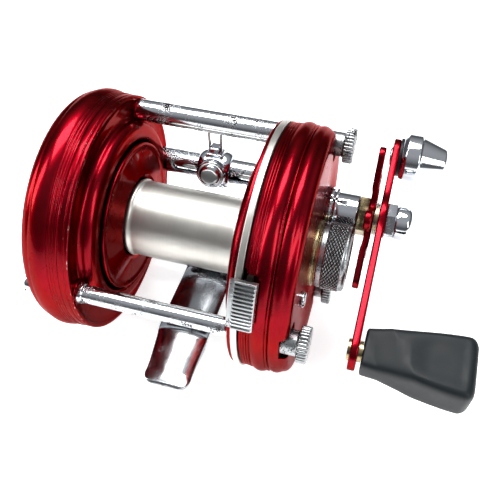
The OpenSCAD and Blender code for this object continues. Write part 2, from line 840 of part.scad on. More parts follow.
// A soft paddle, narrow at the arm and broad at its outer end, that turns on its spindle
module knob() {
    l = knob_len;
    n = 4.6;
    w = knob_w / 2;
    t = knob_t / 2;
    side = concat([[-n, 0], [n, 0], [n + 0.4, l * 0.25], [w - 1, l * 0.62]],
        arc(w - 2.5, l - 2.5, 2.5, 0, 90), arc(-w + 2.5, l - 2.5, 2.5, 90, 180),
        [[-w + 1, l * 0.62], [-n - 0.4, l * 0.25]]);
    edge = concat([[-n + 0.3, 0], [n - 0.3, 0], [t, l * 0.4], [t, l * 0.75]], arc(t - 2, l - 2.2, 2, 0, 90),
        arc(-t + 2, l - 2.2, 2, 90, 180), [[-t, l * 0.75], [-t, l * 0.4]]);
    color("darkslategray") raised()
        right_side(arm_t1 + 1, knob_pivot_y, knob_pivot_z) rotate(knob_roll) difference() {
            intersection() {
                rotate([90, 0, 0]) translate([0, 0, -20]) linear_extrude(40) polygon(side);
                rotate([90, 0, 90]) translate([0, 0, -20]) linear_extrude(40) polygon(edge);
            }
            rod(2 + run_gap, -cut, l - 4.8);
        }
}

// ---- Spool tension cap ----

module cap_collar() {
    color("goldenrod") raised() right_side() difference() {
        union() {
            rod(collar_r, right_inside - 0.8, collar_end);
            rod(flange_r, right_face, right_face + 0.9);
        }
        rod(3.2, 0, collar_end + cut);
        rod(bearing_r + seat_gap, right_inside + 0.7, collar_end + cut);
    }
}

module right_bearing() {
    color("gray") raised() right_side()
        ring(journal_r + seat_gap, bearing_r, right_inside + 0.7, right_inside + 0.7 + bearing_t);
}

module tension_cap() {
    color("silver") raised() right_side() difference() {
        rotate_extrude() polygon([[0, cap_t0], [cap_r - 0.3, cap_t0], [cap_r - 0.2, cap_t0 + 0.1],
            [cap_r - 0.2, cap_t0 + 1.1], [cap_r, cap_t0 + 1.3], [cap_r, cap_t1 - 0.6],
            [cap_r - 0.6, cap_t1], [0, cap_t1]]);
        rod(collar_r + run_gap, cap_t0 - cut, collar_end + 0.3);
        rod(3, cap_t0, cap_t1 - 2.5);
    }
}

// ---- Level wind ----

module levelwind_tube() {
    color("silver") raised() translate([0, tube_y, tube_z]) rotate([90, 0, 90]) difference() {
        ring(tube_bore, tube_r, -half - spigot_t, half + spigot_t);
        rotate(pawl_angle) translate([0, -1.4, -half + 5]) cube([5, 2.8, frame_gap - 10]);
    }
}

module worm_bushings() {
    color("ivory") raised() translate([0, tube_y, tube_z]) rotate([90, 0, 90])
        for (s = [-1, 1]) translate([0, 0, s * (half + 1.2)])
        ring(worm_journal_r + run_gap, tube_bore - seat_gap, -1, 1);
}

module worm_shaft() {
    color("silver") raised() translate([0, tube_y, tube_z]) rotate([90, 0, 90]) {
        rod(worm_r, -half + 2, half - 2);
        rod(worm_journal_r, -half - spigot_t, half + wind_t1 + 0.3);
    }
}

module worm_cog() {
    color("ivory") raised() right_side(wind_t0, tube_y, tube_z) linear_extrude(wind_t1 - wind_t0)
        difference() {
            rotate(wind_angle + 180 / cog_teeth + 180) polygon(gear_points(cog_teeth, wind_module));
            circle(worm_journal_r + seat_gap);
        }
}

module at_carrier() {
    raised() translate([carrier_x, tube_y, tube_z]) children();
}

// The carrier: a sleeve on the tube, a boss for the pawl, a neck for the wire and three legs
module line_carrier() {
    color("silver") at_carrier() difference() {
        union() {
            rotate([90, 0, 90]) rod(carrier_r, -carrier_w / 2, carrier_w / 2);
            rotate([pawl_angle - 90, 0, 0]) rod(pawl_boss_r, 0, cap_seat_r);
            translate([-2.7, -2, 0]) cube([5.4, 4, 6]);
            for (i = [-1:1]) translate([i * 1.8 - 0.4, -1, -6.2]) cube([0.8, 2, 3]);
        }
        rotate([90, 0, 90]) rod(tube_r + 0.08, -carrier_w, carrier_w);
        rotate([pawl_angle - 90, 0, 0]) rod(1.75, 0, cap_seat_r + cut);
    }
}

module pawl() {
    color("goldenrod") at_carrier() rotate([pawl_angle - 90, 0, 0]) {
        rod(1.1, worm_r + 0.12, cap_seat_r - 0.1);
        rod(1.7, tube_r + 1, cap_seat_r - 0.1);
    }
}

module pawl_cap() {
    color("silver") at_carrier() rotate([pawl_angle - 90, 0, 0])
        rotate_extrude() polygon([[0, cap_seat_r], [pawl_boss_r, cap_seat_r],
            [pawl_boss_r, cap_seat_r + 0.7], [2.5, cap_seat_r + 1.2], [0, cap_seat_r + 1.2]]);
}

// A closed loop of wire that the line runs through
module guide_wire() {
    wire_r = 0.4;
    span_r = 1.75;
    rise = 10.2;
    color("silver") at_carrier() translate([0, 0, 6]) {
        for (x = [-span_r, span_r]) translate([x, 0, 0])
            linear_extrude(rise) circle(wire_r, $fn = 24);
        translate([0, 0, rise]) rotate([90, 0, 0])
            rotate_extrude(angle = 180) translate([span_r, 0]) circle(wire_r, $fn = 24);
    }
}

// ---- Thumb lever ----

// A plate inside the cup, an arm through the slot and a ribbed pad behind the rim
module thumb_lever() {
    color("silver") raised() right_side() {
        sector(lever_r0, lever_r1, 118, 150, right_seam + 1, right_seam + 2.2);
        sector(lever_r0, pad_r0 + 0.9, 146, 150, right_seam + 1, right_seam + 2.2);
        sector(pad_r0, pad_r0 + 1.3, 147, pad_a1, pad_t0, pad_t1);
        for (i = [0:last_rib])
            let (a = pad_a0 + 0.8 + i * (pad_a1 - pad_a0 - 1.6) / last_rib)
            sector(pad_r0 + 1.2, pad_r1, a - 0.5, a + 0.5, pad_t0 + 0.8, pad_t1);
    }
}

// ---- Assembly ----

left_frame_plate();
right_frame_plate();
top_pillar();
rear_pillar();
foot_pillar_rear();
foot_pillar_front();
foot();
foot_rivets();
trim_ring();
left_cup();
left_screws();
right_cup();
takedown_screw_top();
takedown_screw_rear();
takedown_screw_front();
face_screw();
bridge_plate();
bridge_screws();
left_bearing();
right_bearing();
brake_drum();
spool_arbor();
spool_flanges();
spool_shaft();
brake_holder();
brake_block_upper();
brake_block_lower();
pinion();
pinion_yoke();
yoke_springs();
drive_shaft();
wind_driver_gear();
ratchet_wheel();
drive_gear();
drag_washers();
pressure_washer();
drag_sleeve();
anti_reverse_dog();
shaft_sleeve();
sleeve_ring();
star_nut();
star_wheel();
spring_washers();
handle_arm();
handle_nut();
nut_cover();
counterweight();
knob_spindle();
knob();
cap_collar();
tension_cap();
levelwind_tube();
worm_bushings();
worm_shaft();
worm_cog();
line_carrier();
pawl();
pawl_cap();
guide_wire();
thumb_lever();
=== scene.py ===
# A round baitcasting reel: two round frame plates joined by pillars, a cup screwed on each side,
# the spool and the line guide between the plates, and the star drag and the handle on the right.
import json

import bmesh
import bpy
import numpy as np
from mathutils import Matrix, Vector


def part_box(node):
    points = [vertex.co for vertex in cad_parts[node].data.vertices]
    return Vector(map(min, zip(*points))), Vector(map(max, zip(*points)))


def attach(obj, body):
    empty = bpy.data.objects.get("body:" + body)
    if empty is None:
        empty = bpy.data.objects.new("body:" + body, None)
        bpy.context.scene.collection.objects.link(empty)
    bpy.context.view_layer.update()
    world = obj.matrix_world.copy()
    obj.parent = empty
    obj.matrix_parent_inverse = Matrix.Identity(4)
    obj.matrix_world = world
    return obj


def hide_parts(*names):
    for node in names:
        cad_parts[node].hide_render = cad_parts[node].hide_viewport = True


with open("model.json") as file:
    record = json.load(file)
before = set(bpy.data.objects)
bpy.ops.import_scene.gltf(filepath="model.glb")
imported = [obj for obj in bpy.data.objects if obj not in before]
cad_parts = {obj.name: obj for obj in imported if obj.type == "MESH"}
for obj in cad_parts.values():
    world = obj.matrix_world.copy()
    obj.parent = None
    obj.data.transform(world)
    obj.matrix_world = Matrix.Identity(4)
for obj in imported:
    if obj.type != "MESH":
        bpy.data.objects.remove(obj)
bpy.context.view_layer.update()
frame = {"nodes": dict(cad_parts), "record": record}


# ---- Frame plates ----
# Two turned and milled aluminium rings, anodised red and polished. Each has a rounded boss round
# the spool's well, a sunk track near its rim and a flat pad under each pillar.

def middle(node):
    """Middle of a node's box, in millimetres."""
    low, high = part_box(node)
    return np.array((low + high) / 2) * 1000


def reach(node, axis):
    """Lowest and highest place of a node along one axis, in millimetres."""
    low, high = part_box(node)
    return low[axis] * 1000, high[axis] * 1000


def half_size(node, axis):
    """Half a node's size along one axis, in millimetres."""
    low, high = reach(node, axis)
    return (high - low) / 2


spool_axis = middle("spool_arbor")
plate_thickness = 2.5
face_x = abs(reach("left_frame_plate", 0)[0] + plate_thickness)
left_centre = [-face_x, spool_axis[1], spool_axis[2]]
right_centre = [face_x, spool_axis[1], spool_axis[2]]
plate_r = half_size("left_frame_plate", 1)


def span(node):
    """Lowest and highest place of a node along X, measured out from the right plate's inner face."""
    low, high = reach(node, 0)
    return low - face_x, high - face_x


def soften(points, radius=0.3, steps=5):
    """Rounds the corners of an open outline. Each inner corner becomes a quadratic curve that
    starts and ends at most one radius away from it, and less on a short side."""
    points = np.array(points, float)
    before, corner, after = points[:-2], points[1:-1], points[2:]
    to_before, to_after = before - corner, after - corner
    size_b = np.linalg.norm(to_before, axis=1, keepdims=True)
    size_a = np.linalg.norm(to_after, axis=1, keepdims=True)
    start = corner + to_before / size_b * np.minimum(radius, size_b * 0.45)
    end = corner + to_after / size_a * np.minimum(radius, size_a * 0.45)
    s = np.linspace(0, 1, steps)[None, :, None]
    curve = (1 - s) ** 2 * start[:, None] + 2 * s * (1 - s) * corner[:, None] + s**2 * end[:, None]
    return np.vstack([points[:1], curve.reshape(-1, 2), points[-1:]])


def turned(profile, centre, side=1, turns=192, ripple=None):
    """A surface turned about an axis along X. The profile holds places (t, r): x is the centre's x
    plus side times t, and y and z are r times the cosine and sine of the angle. A ripple adds to r
    a height worked out from t, the angle and r."""
    t, r = np.array(profile, float).T[:, :, None]
    angle = np.linspace(0, 2 * np.pi, turns, endpoint=False)[None, :]
    r = r + (ripple(t, angle, r) if ripple else 0) + 0 * angle
    return np.stack([centre[0] + side * t + 0 * r, centre[1] + r * np.cos(angle),
                     centre[2] + r * np.sin(angle)], axis=-1)


def grid_faces(rows, columns, first, round_columns, round_rows):
    """Corner numbers of a grid's four-sided faces, joined round where the grid closes on itself."""
    number = first + np.arange(rows * columns).reshape(rows, columns)
    if round_columns:
        number = np.hstack([number, number[:, :1]])
    if round_rows:
        number = np.vstack([number, number[:1]])
    corners = [number[:-1, :-1], number[1:, :-1], number[1:, 1:], number[:-1, 1:]]
    return np.stack(corners, -1).reshape(-1, 4)


def capped(grid):
    """Closes both ends of a grid with a row of points at the middle of its end row."""
    first = np.repeat(grid[:1].mean(1, keepdims=True), grid.shape[1], 1)
    last = np.repeat(grid[-1:].mean(1, keepdims=True), grid.shape[1], 1)
    return np.vstack([first, grid, last])


def mesh_of(name, surfaces, sharp=35):
    """One object from surfaces. A surface is a grid of points in millimetres, closed round its
    columns, or a pair of such a grid and True where its rows close too. Doubled points at poles and
    seams are merged, and the faces are turned outwards."""
    points, faces, count = [], [], 0
    for surface in surfaces:
        grid, round_rows = surface if isinstance(surface, tuple) else (surface, False)
        faces.append(grid_faces(grid.shape[0], grid.shape[1], count, True, round_rows))
        points.append(grid.reshape(-1, 3))
        count += grid.shape[0] * grid.shape[1]
    mesh = bpy.data.meshes.new(name)
    mesh.from_pydata(np.vstack(points) / 1000, [], np.vstack(faces))
    shell = bmesh.new()
    shell.from_mesh(mesh)
    bmesh.ops.remove_doubles(shell, verts=shell.verts, dist=2e-6)
    bmesh.ops.dissolve_degenerate(shell, edges=shell.edges, dist=1e-6)
    bmesh.ops.recalc_face_normals(shell, faces=shell.faces)
    shell.to_mesh(mesh)
    shell.free()
    made = bpy.data.objects.new(name, mesh)
    bpy.context.scene.collection.objects.link(made)
    shade(mesh, sharp)
    return made


def shade(mesh, sharp):
    """Smooth shading with edges kept sharp past an angle in degrees."""
    mesh.shade_smooth()
    mesh.set_sharp_from_angle(angle=np.radians(sharp))


def linear(hex_colour):
    """A colour written as sRGB hex, in linear light: below 0.04045 a channel is divided by 12.92,
    and above it is ((c + 0.055) / 1.055) to the power 2.4."""
    c = np.array([int(hex_colour[i:i + 2], 16) for i in (1, 3, 5)]) / 255
    return (*np.where(c < 0.04045, c / 12.92, ((c + 0.055) / 1.055) ** 2.4), 1.0)


def node(tree, kind, sockets=None, links=None, **settings):
    """Adds one shader node, sets its properties and its sockets' values, and links its inputs."""
    made = tree.nodes.new("ShaderNode" + kind)
    for key, value in settings.items():
        setattr(made, key, value)
    for key, value in (sockets or {}).items():
        made.inputs[key].default_value = value
    for key, source in (links or {}).items():
        tree.links.new(source, made.inputs[key])
    return made


def new_material(name):
    """An empty material, its node tree, its shader and its Object coordinates."""
    made = bpy.data.materials.new(name)
    made.use_nodes = True
    tree = made.node_tree
    tree.nodes.clear()
    shader = node(tree, "BsdfPrincipled")
    node(tree, "OutputMaterial", links={"Surface": shader.outputs[0]})
    place = node(tree, "TexCoord").outputs["Object"]
    return made, tree, shader, place


def ramp(tree, fac, low, dark, high, light):
    """A colour ramp that runs from one colour at the place low to another at the place high."""
    made = node(tree, "ValToRGB", links={"Fac": fac})
    for stop, place, colour in zip(made.color_ramp.elements, (low, high), (dark, light)):
        stop.position = place
        stop.color = colour
    return made


def spread(tree, noise, low, high, start=0.3, stop=0.7):
    """Maps a noise's values from start to stop onto low to high, and holds them there beyond."""
    return node(tree, "MapRange", {"From Min": start, "From Max": stop, "To Min": low, "To Max": high},
                {"Value": noise.outputs["Fac"]})


def dress(tree, shader, colour, roughness, bump=None, metallic=1.0):
    """Links a colour, a roughness and perhaps a bump to a shader, and says how metallic it is."""
    tree.links.new(colour.outputs[0], shader.inputs["Base Color"])
    tree.links.new(roughness.outputs[0], shader.inputs["Roughness"])
    if bump:
        tree.links.new(bump.outputs[0], shader.inputs["Normal"])
    shader.inputs["Metallic"].default_value = metallic


# Anodised aluminium: polished metal under a clear dyed skin. The eye sees a deep wine red that flares
# to bright red where it mirrors light, a pale gloss at grazing angles, and bare metal at rubbed edges.
anodised_red, tree, shader, place = new_material("anodised_aluminium_red")
cloud = node(tree, "TexNoise", {"Scale": 160.0, "Detail": 3.0}, {"Vector": place})
dye = ramp(tree, cloud.outputs["Fac"], 0.3, linear("#6A020F"), 0.7, linear("#7E0413"))
chips = node(tree, "TexNoise", {"Scale": 700.0, "Detail": 6.0, "Roughness": 0.7}, {"Vector": place})
worn = node(tree, "Attribute", attribute_name="wear")
rub = node(tree, "Math", links={0: chips.outputs["Fac"], 1: worn.outputs["Fac"]}, operation="MULTIPLY")
bare = node(tree, "MapRange", {"From Min": 0.5, "From Max": 0.6}, {"Value": rub.outputs[0]})
metal = node(tree, "MixRGB", {"Color2": linear("#C9C4BE")},
             {"Fac": bare.outputs[0], "Color1": dye.outputs[0]})
dress(tree, shader, metal, spread(tree, cloud, 0.26, 0.31))
shader.inputs["Specular Tint"].default_value = linear("#B82434")
shader.inputs["Coat Weight"].default_value = 0.1
shader.inputs["Coat Roughness"].default_value = 0.05


def points_from(made, centre):
    """A piece's points in millimetres from a centre, as its x, its y and its z places."""
    co = np.empty(len(made.data.vertices) * 3, np.float32)
    made.data.vertices.foreach_get("co", co)
    return (co.reshape(-1, 3) * 1000 - centre).T


def store(made, name, share):
    """Stores a share from 0 to 1 at each of a piece's points, for its material to read."""
    made.data.attributes.new(name, "FLOAT", "POINT").data.foreach_set("value", share.astype(np.float32))


def wear_along(made, marks, width=0.35):
    """Stores how rubbed each point is: 1 on the marked places (t measured out from the middle of the
    frame, r from the spool axis, in millimetres), falling to 0 one width away."""
    x, y, z = points_from(made, [0, spool_axis[1], spool_axis[2]])
    place_tr = np.stack([np.abs(x), np.hypot(y, z)], -1)
    gap = np.linalg.norm(place_tr[:, None] - np.array(marks, float)[None], axis=-1).min(1)
    store(made, "wear", np.clip(1 - gap / width, 0, 1))


def finished(made, body, material, slot, *nodes):
    """Gives a piece its material, hangs it on its body and hides the nodes it stands for."""
    made.data.materials.append(material)
    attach(made, body)
    if nodes:
        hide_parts(*nodes)
    return made


def plate_profile(rim):
    """Section of a frame plate, from the well's back edge over the boss and the sunk track to the
    rim and back along the outer side. t is measured outwards from the inner face."""
    well = plate_r - 10.4
    boss = plate_r - 6
    inner = [[2.4, well], [-2.0, well], [-2.55, well + 0.55], [-2.6, boss - 2.0], [-2.1, boss - 0.8],
             [-1.2, boss - 0.15], [0.1, boss], [0.7, boss + 0.8], [0.75, plate_r - 2.6],
             [0.35, plate_r - 1.3], [0, plate_r - 0.9], [0, plate_r - 0.25]]
    return np.vstack([soften(inner, 0.45, 6), soften(rim + [[2.4, well]], 0.18, 4)])


pillars = ("top_pillar", "rear_pillar", "foot_pillar_front", "foot_pillar_rear")
pillar_places = [middle(name)[1:] for name in pillars]
screw_places = pillar_places[:3]
left_rim = [[0, plate_r - 0.25], [0.2, plate_r], [0.9, plate_r], [1.1, plate_r - 0.2], [1.3, plate_r],
            [2.45, plate_r]]
right_rim = [[0, plate_r - 0.25], [0.2, plate_r], [0.9, plate_r], [0.9, plate_r - 1.4],
             [2.4, plate_r - 1.4]]
pad_profile = soften([[2.0, 0.01], [0.0, 0.01], [0.0, 2.9], [2.0, 2.9]], 0.2)
for name, side, rim, centre in (("left", -1, left_rim, left_centre),
                                ("right", 1, right_rim, right_centre)):
    pads = [turned(pad_profile, [centre[0], *place], side, 48) for place in pillar_places]
    plate = mesh_of(f"{name}_plate_ring", [(turned(plate_profile(rim), centre, side, 256), True), *pads])
    wear_along(plate, [[face_x + 0.1, plate_r - 0.1], [face_x + 1.1, plate_r - 0.1]])
    finished(plate, "frame", anodised_red, "red_anodised", f"{name}_frame_plate")


# ---- Pillars ----
# Turned brass rods, chrome plated, between the two plates. Years of use near salt water have
# pitted their plating, the rear pillar's most. Screws through the cups hold three of them.

def chrome_plated(name, pits, haze_low, haze_high, tone="#C9CDD2"):
    """Chrome-plated brass: a hard mirror with a faint blue cast. Pits are the dark specks where the
    plating has lifted, about half a millimetre wide, and each is a small dent as well."""
    made, tree, shader, place = new_material(name)
    specks = node(tree, "TexNoise", {"Scale": 3200.0, "Detail": 3.0, "Roughness": 0.6},
                  {"Vector": place})
    patches = node(tree, "TexNoise", {"Scale": 220.0, "Detail": 2.0}, {"Vector": place})
    both = node(tree, "Math", links={0: specks.outputs["Fac"], 1: patches.outputs["Fac"]},
                operation="ADD")
    spot = node(tree, "MapRange", {"From Min": pits, "From Max": pits + 0.05},
                {"Value": both.outputs[0]})
    # Painted shade: the groove value darkens groove bottoms to the same dark colour as the pits, more
    # with depth.
    groove = node(tree, "Attribute", attribute_name="groove")
    pit_or_groove_shade = node(tree, "Math", links={0: spot.outputs[0], 1: groove.outputs["Fac"]},
               operation="MAXIMUM")
    colour = node(tree, "MixRGB", {"Color1": linear(tone), "Color2": linear("#221E1C")},
                  {"Fac": pit_or_groove_shade.outputs[0]})
    haze = spread(tree, patches, haze_low, haze_high, 0.35, 0.65)
    rough = node(tree, "Math", {1: 0.35}, {0: pit_or_groove_shade.outputs[0], 2: haze.outputs[0]},
                 operation="MULTIPLY_ADD")
    dent = node(tree, "Bump", {"Strength": 0.4, "Distance": 0.00005}, {"Height": spot.outputs[0]},
                invert=True)
    dress(tree, shader, colour, rough, dent)
    return made


# Painted shade mask: the value stored here darkens the bottoms of knurl and rib grooves in the chrome
# materials.
def store_groove_shade(made, centre, top, depth, t0=-99.0, t1=99.0):
    """Stores how deep in a groove each point is: 0 at the radius top about an axis along X, rising to
    1 one depth below it, and 0 outside the places t0 to t1 from the right plate."""
    x, y, z = points_from(made, centre)
    store(made, "groove", np.clip((top - np.hypot(y, z)) / depth, 0, 1) * (x > t0) * (x < t1))


pitted_chrome = chrome_plated("chrome_plated_brass_pitted", 1.14, 0.09, 0.16)
clean_chrome = chrome_plated("chrome_plated_brass", 1.3, 0.06, 0.1)
knurled_chrome = chrome_plated("chrome_plated_brass_worn", 1.16, 0.24, 0.34, "#A3A6A8")
for name, collar in zip(pillars, (0, 0.35, 0, 0)):
    r = half_size(name, 2)
    profile = soften([[-face_x, 0.01], [-face_x, r + collar], [-face_x + 1.2, r + collar],
                      [-face_x + 1.5, r], [face_x - 1.0, r], [face_x - 0.5, r - 0.25],
                      [face_x, r - 0.25], [face_x, 0.01]], 0.15)
    rod = mesh_of(name + "_rod", [turned(profile, [0, *middle(name)[1:]], 1, 96)])
    finished(rod, "frame", pitted_chrome, "chrome", name)


# ---- Foot ----
# Stamped from one strip of brass and chrome plated. It is arched across its width, flat under the
# two foot pillars, and runs down in a ramp to a thin tongue at each end for the rod's reel seat.
foot_low, foot_high = (np.array(corner) * 1000 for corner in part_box("foot"))
tip_t, strip_t, tip_corner = 1.3, 1.7, 3
flat_half, ramp_end, ramp_length = 13.2, 15.5, 3.2
along = np.linspace(0, 1, 161)[:, None]
y = foot_low[1] + (foot_high[1] - foot_low[1]) * (along - np.sin(4 * np.pi * along) / (4 * np.pi) * 0.5)
to_end = np.minimum(y - foot_low[1], foot_high[1] - y)
near_tip = np.clip(to_end / tip_corner, 0, 1)
width = foot_high[0] - 0.8 * np.clip((np.abs(y) - 12) / 10, 0, 1)
width = width - tip_corner * (1 - np.sqrt(np.clip(1 - (1 - near_tip) ** 2, 0, 1)))
raised = np.clip((ramp_end - np.abs(y)) / ramp_length, 0, 1)
bottom = (foot_high[2] - strip_t) * raised**2 * (3 - 2 * raised)
slope = np.where(y < 0, -foot_low[1], foot_high[1]) - flat_half
top = tip_t + (foot_high[2] - tip_t) * np.clip(to_end / slope, 0, 1)
round_it = np.linspace(0, 2 * np.pi, 96, endpoint=False)[None, :]
across = np.sign(np.cos(round_it)) * np.abs(np.cos(round_it)) ** 0.6
side_up = np.sign(np.sin(round_it)) * np.abs(np.sin(round_it)) ** 0.18
fall = 0.16 * foot_high[0] * 0.9
arch = fall * across**2 * np.clip(to_end / 4, 0, 1) * (side_up > 0) * (top > tip_t + 0.01)
edge = np.clip(to_end / 0.5, 0, 1) ** 0.5
z = np.maximum((top + bottom) / 2 + (top - bottom) / 2 * side_up * edge - arch, 0)
strip = np.stack([across * width, y + 0 * across, z], -1)
foot = mesh_of("foot_plate", [capped(strip)], 50)
worn_chrome = chrome_plated("chrome_plated_brass_dulled", 1.22, 0.12, 0.2, "#9DA0A3")
finished(foot, "frame", worn_chrome, "chrome", "foot")
rivet_x, rivet_y = 4.2, pillar_places[3][0]
rivet_places = [[x, y] for x in (-rivet_x, rivet_x) for y in (rivet_y, -rivet_y)]
foot_top = foot_high[2] - fall * 0.36
stud = turned([[foot_top - 0.6, 0.01], [foot_top - 0.6, 1.05], [foot_top + 0.08, 1.05],
               [foot_top + 0.16, 0.8], [foot_top + 0.16, 0.01]], [0, 0, 0], 1, 32)
studs = [np.stack([x + stud[..., 2], y + stud[..., 1], stud[..., 0]], -1) for x, y in rivet_places]
rivet_steel = chrome_plated("steel_rivet_dark", 1.3, 0.3, 0.4, "#4A4744")
finished(mesh_of("foot_rivet_tops", studs), "frame", rivet_steel, "steel")


# ---- Trim ring ----
# A plain aluminium ring, fine turned and left its own colour, held between the right plate and cup.
# Its turning marks run round it.
satin_aluminium, tree, shader, place = new_material("turned_aluminium_satin")
stretch = node(tree, "Mapping", {"Scale": (4200.0, 60.0, 60.0)}, {"Vector": place})
marks = node(tree, "TexNoise", {"Scale": 1.0, "Detail": 3.0}, {"Vector": stretch.outputs[0]})
cloud = node(tree, "TexNoise", {"Scale": 260.0, "Detail": 3.0}, {"Vector": place})
tone = node(tree, "MixRGB", {"Color1": linear("#B4B2AC"), "Color2": linear("#BDBBB5")},
            {"Fac": marks.outputs["Fac"]})
lines = node(tree, "Bump", {"Strength": 0.05, "Distance": 0.00001}, {"Height": marks.outputs["Fac"]})
dress(tree, shader, tone, spread(tree, cloud, 0.36, 0.42), lines)
ring = soften([[1.6, plate_r - 1.3], [0.92, plate_r - 1.3], [0.92, plate_r + 0.4], [2.38, plate_r + 0.4],
               [2.38, plate_r - 1.3], [1.6, plate_r - 1.3]], 0.2)
trim = mesh_of("trim_band", [(turned(ring[:-1], right_centre, 1, 256), True)])
finished(trim, "frame", satin_aluminium, "satin_aluminium", "trim_ring")


# ---- Spool ----
# The arbor is turned from plain aluminium, and the two flanges are dished and red anodised, with
# rolled rims. The steel shaft is pressed through them.
arbor_low, arbor_high = reach("spool_arbor", 0)
arbor_r = half_size("spool_arbor", 2)
bead = arbor_r + 0.5
profile = soften([[arbor_low, 2.1], [arbor_low, arbor_r - 0.2], [arbor_low + 1.2, bead],
                  [arbor_low + 2.0, arbor_r], [arbor_high - 2.0, arbor_r], [arbor_high - 1.2, bead],
                  [arbor_high, arbor_r - 0.2], [arbor_high, 2.1], [arbor_low, 2.1]], 0.6, 8)
arbor = mesh_of("arbor_tube", [(turned(profile[:-1], [0, *spool_axis[1:]], 1, 160), True)])
finished(arbor, "spool", satin_aluminium, "satin_aluminium", "spool_arbor")

flange_r = half_size("spool_flanges", 2)
profile = soften([[4.2, arbor_r + 1.4], [3.3, arbor_r + 0.1], [3.1, arbor_r + 1], [2.2, flange_r - 3.2],
                  [2.2, flange_r - 0.2], [2.6, flange_r], [3.2, flange_r], [3.4, flange_r - 0.6],
                  [3.0, flange_r - 1.6], [3.5, flange_r - 4.4], [4.2, arbor_r + 1.4]], 0.5, 6)
flanges = mesh_of("flange_discs", [(turned(profile[:-1], left_centre, 1, 192), True),
                                   (turned(profile[:-1], right_centre, -1, 192), True)])
wear_along(flanges, [[face_x - 2.9, flange_r]], 0.25)
finished(flanges, "spool", anodised_red, "red_anodised", "spool_flanges")


# ---- Level wind ----
# A chromed tube with a slot along it holds the worm, whose two crossed grooves drive the pawl. The
# carrier, a small chromed casting, slides on the tube, and its wire loop leads the line.

def carve(made, cutters):
    """Cuts closed meshes out of a piece and removes them."""
    for cutter in cutters:
        change = made.modifiers.new("cut", "BOOLEAN")
        change.object, change.operation, change.solver = cutter, "DIFFERENCE", "EXACT"
    settle(made)
    for cutter in cutters:
        bpy.data.objects.remove(cutter)
    shade(made.data, 35)


def settle(made):
    """Makes a piece's modifiers part of its mesh."""
    graph = bpy.context.evaluated_depsgraph_get()
    mesh = bpy.data.meshes.new_from_object(made.evaluated_get(graph))
    made.modifiers.clear()
    made.data = mesh


def turned_to(grid, direction, centre):
    """Turns a surface made about X so that its axis points along a direction, from a centre."""
    spin = np.array(Vector((1, 0, 0)).rotation_difference(Vector(direction)).to_matrix())
    return grid @ spin.T + np.array(centre)


tube_at = [0, *middle("levelwind_tube")[1:]]
tube_r = half_size("levelwind_tube", 1)
tube_end = reach("levelwind_tube", 0)[1]
pawl_way = np.array([0, np.cos(np.radians(160)), np.sin(np.radians(160))])
bore_r = tube_r - 0.7
profile = soften([[-tube_end, bore_r], [-tube_end, tube_r], [tube_end, tube_r], [tube_end, bore_r],
                  [-tube_end, bore_r]], 0.15)
tube = mesh_of("tube", [(turned(profile[:-1], tube_at, 1, 128), True)])
slot_half, slot_w = 13.0, 1.4
turn = np.linspace(0, 2 * np.pi, 64, endpoint=False)[None, :]
stadium = np.stack([np.sign(np.cos(turn)) * (slot_half - slot_w) + slot_w * np.cos(turn),
                    slot_w * np.sin(turn)], -1)
level = np.array([0.0, 0.0, 6.0, 6.0])[:, None]
size = np.array([0.0, 1.0, 1.0, 0.0])[:, None]
sideways = np.array([0, -pawl_way[2], pawl_way[1]])
slot_block = (np.array(tube_at) + size[..., None] * stadium[..., :1] * np.array([1, 0, 0])
              + size[..., None] * stadium[..., 1:] * sideways + level[..., None] * pawl_way)
carve(tube, [mesh_of("slot_cutter", [slot_block])])
finished(tube, "frame", pitted_chrome, "chrome", "levelwind_tube")


def crossed_grooves(t, angle, r):
    """Depth of the worm's two grooves. Each is a helix with a lead of 10 mm, one turning each way,
    and has a round bottom 0.9 mm wide and 0.6 mm deep."""
    depth = 0 * t * angle
    for hand in (1, -1):
        off = np.mod(angle * hand / (2 * np.pi) * 10 - t + 5, 10) - 5
        depth = np.maximum(depth, 0.6 * np.clip(1 - (off / 0.75) ** 2, 0, 1) ** 0.7)
    return -depth * (np.abs(t) < 14.5) * (r > 1.5)


worm_low, worm_high = reach("worm_shaft", 0)
worm_r = half_size("worm_shaft", 1)
worm_places = np.linspace(-15.5, 15.5, 240)
worm_profile = np.vstack([[[worm_low, 0.01], [worm_low, 1.4], [-16, 1.4], [-16, worm_r]],
                          np.stack([worm_places, 0 * worm_places + worm_r], -1),
                          [[16, worm_r], [16, 1.4], [worm_high, 1.4], [worm_high, 0.01]]])
worm = mesh_of("worm", [turned(worm_profile, tube_at, 1, 96, crossed_grooves)])
finished(worm, "worm", clean_chrome, "steel", "worm_shaft")

carrier_at = np.array([middle("line_carrier")[0], *tube_at[1:]])
carrier_w = half_size("line_carrier", 0)
profile = soften([[-carrier_w, 3.2], [-carrier_w, 4.2], [-carrier_w + 1.5, 5.0],
                  [carrier_w - 1.5, 5.0], [carrier_w, 4.2], [carrier_w, 3.2]], 1.2, 6)
barrel = turned(profile, carrier_at, 1, 64)
barrel = np.vstack([barrel, turned([[carrier_w, 3.37], [-carrier_w, 3.37]], carrier_at, 1, 64)])
profile = soften([[2.6, 0.01], [3.6, 4.0], [5.75, 3.7], [5.75, 0.01]], 0.5)
boss = turned_to(turned(profile, [0, 0, 0], 1, 48), pawl_way, carrier_at)


def block(low, high, centre):
    """A plain block between two corners."""
    low, high = np.array(low, float), np.array(high, float)
    corners = np.array([[0, 0], [1, 0], [1, 1], [0, 1]], float)
    ring = low[:2] + corners * (high[:2] - low[:2])
    rows = np.array([np.column_stack([ring, [z] * 4]) for z in (low[2], high[2])])
    return capped(rows) + np.array(centre)


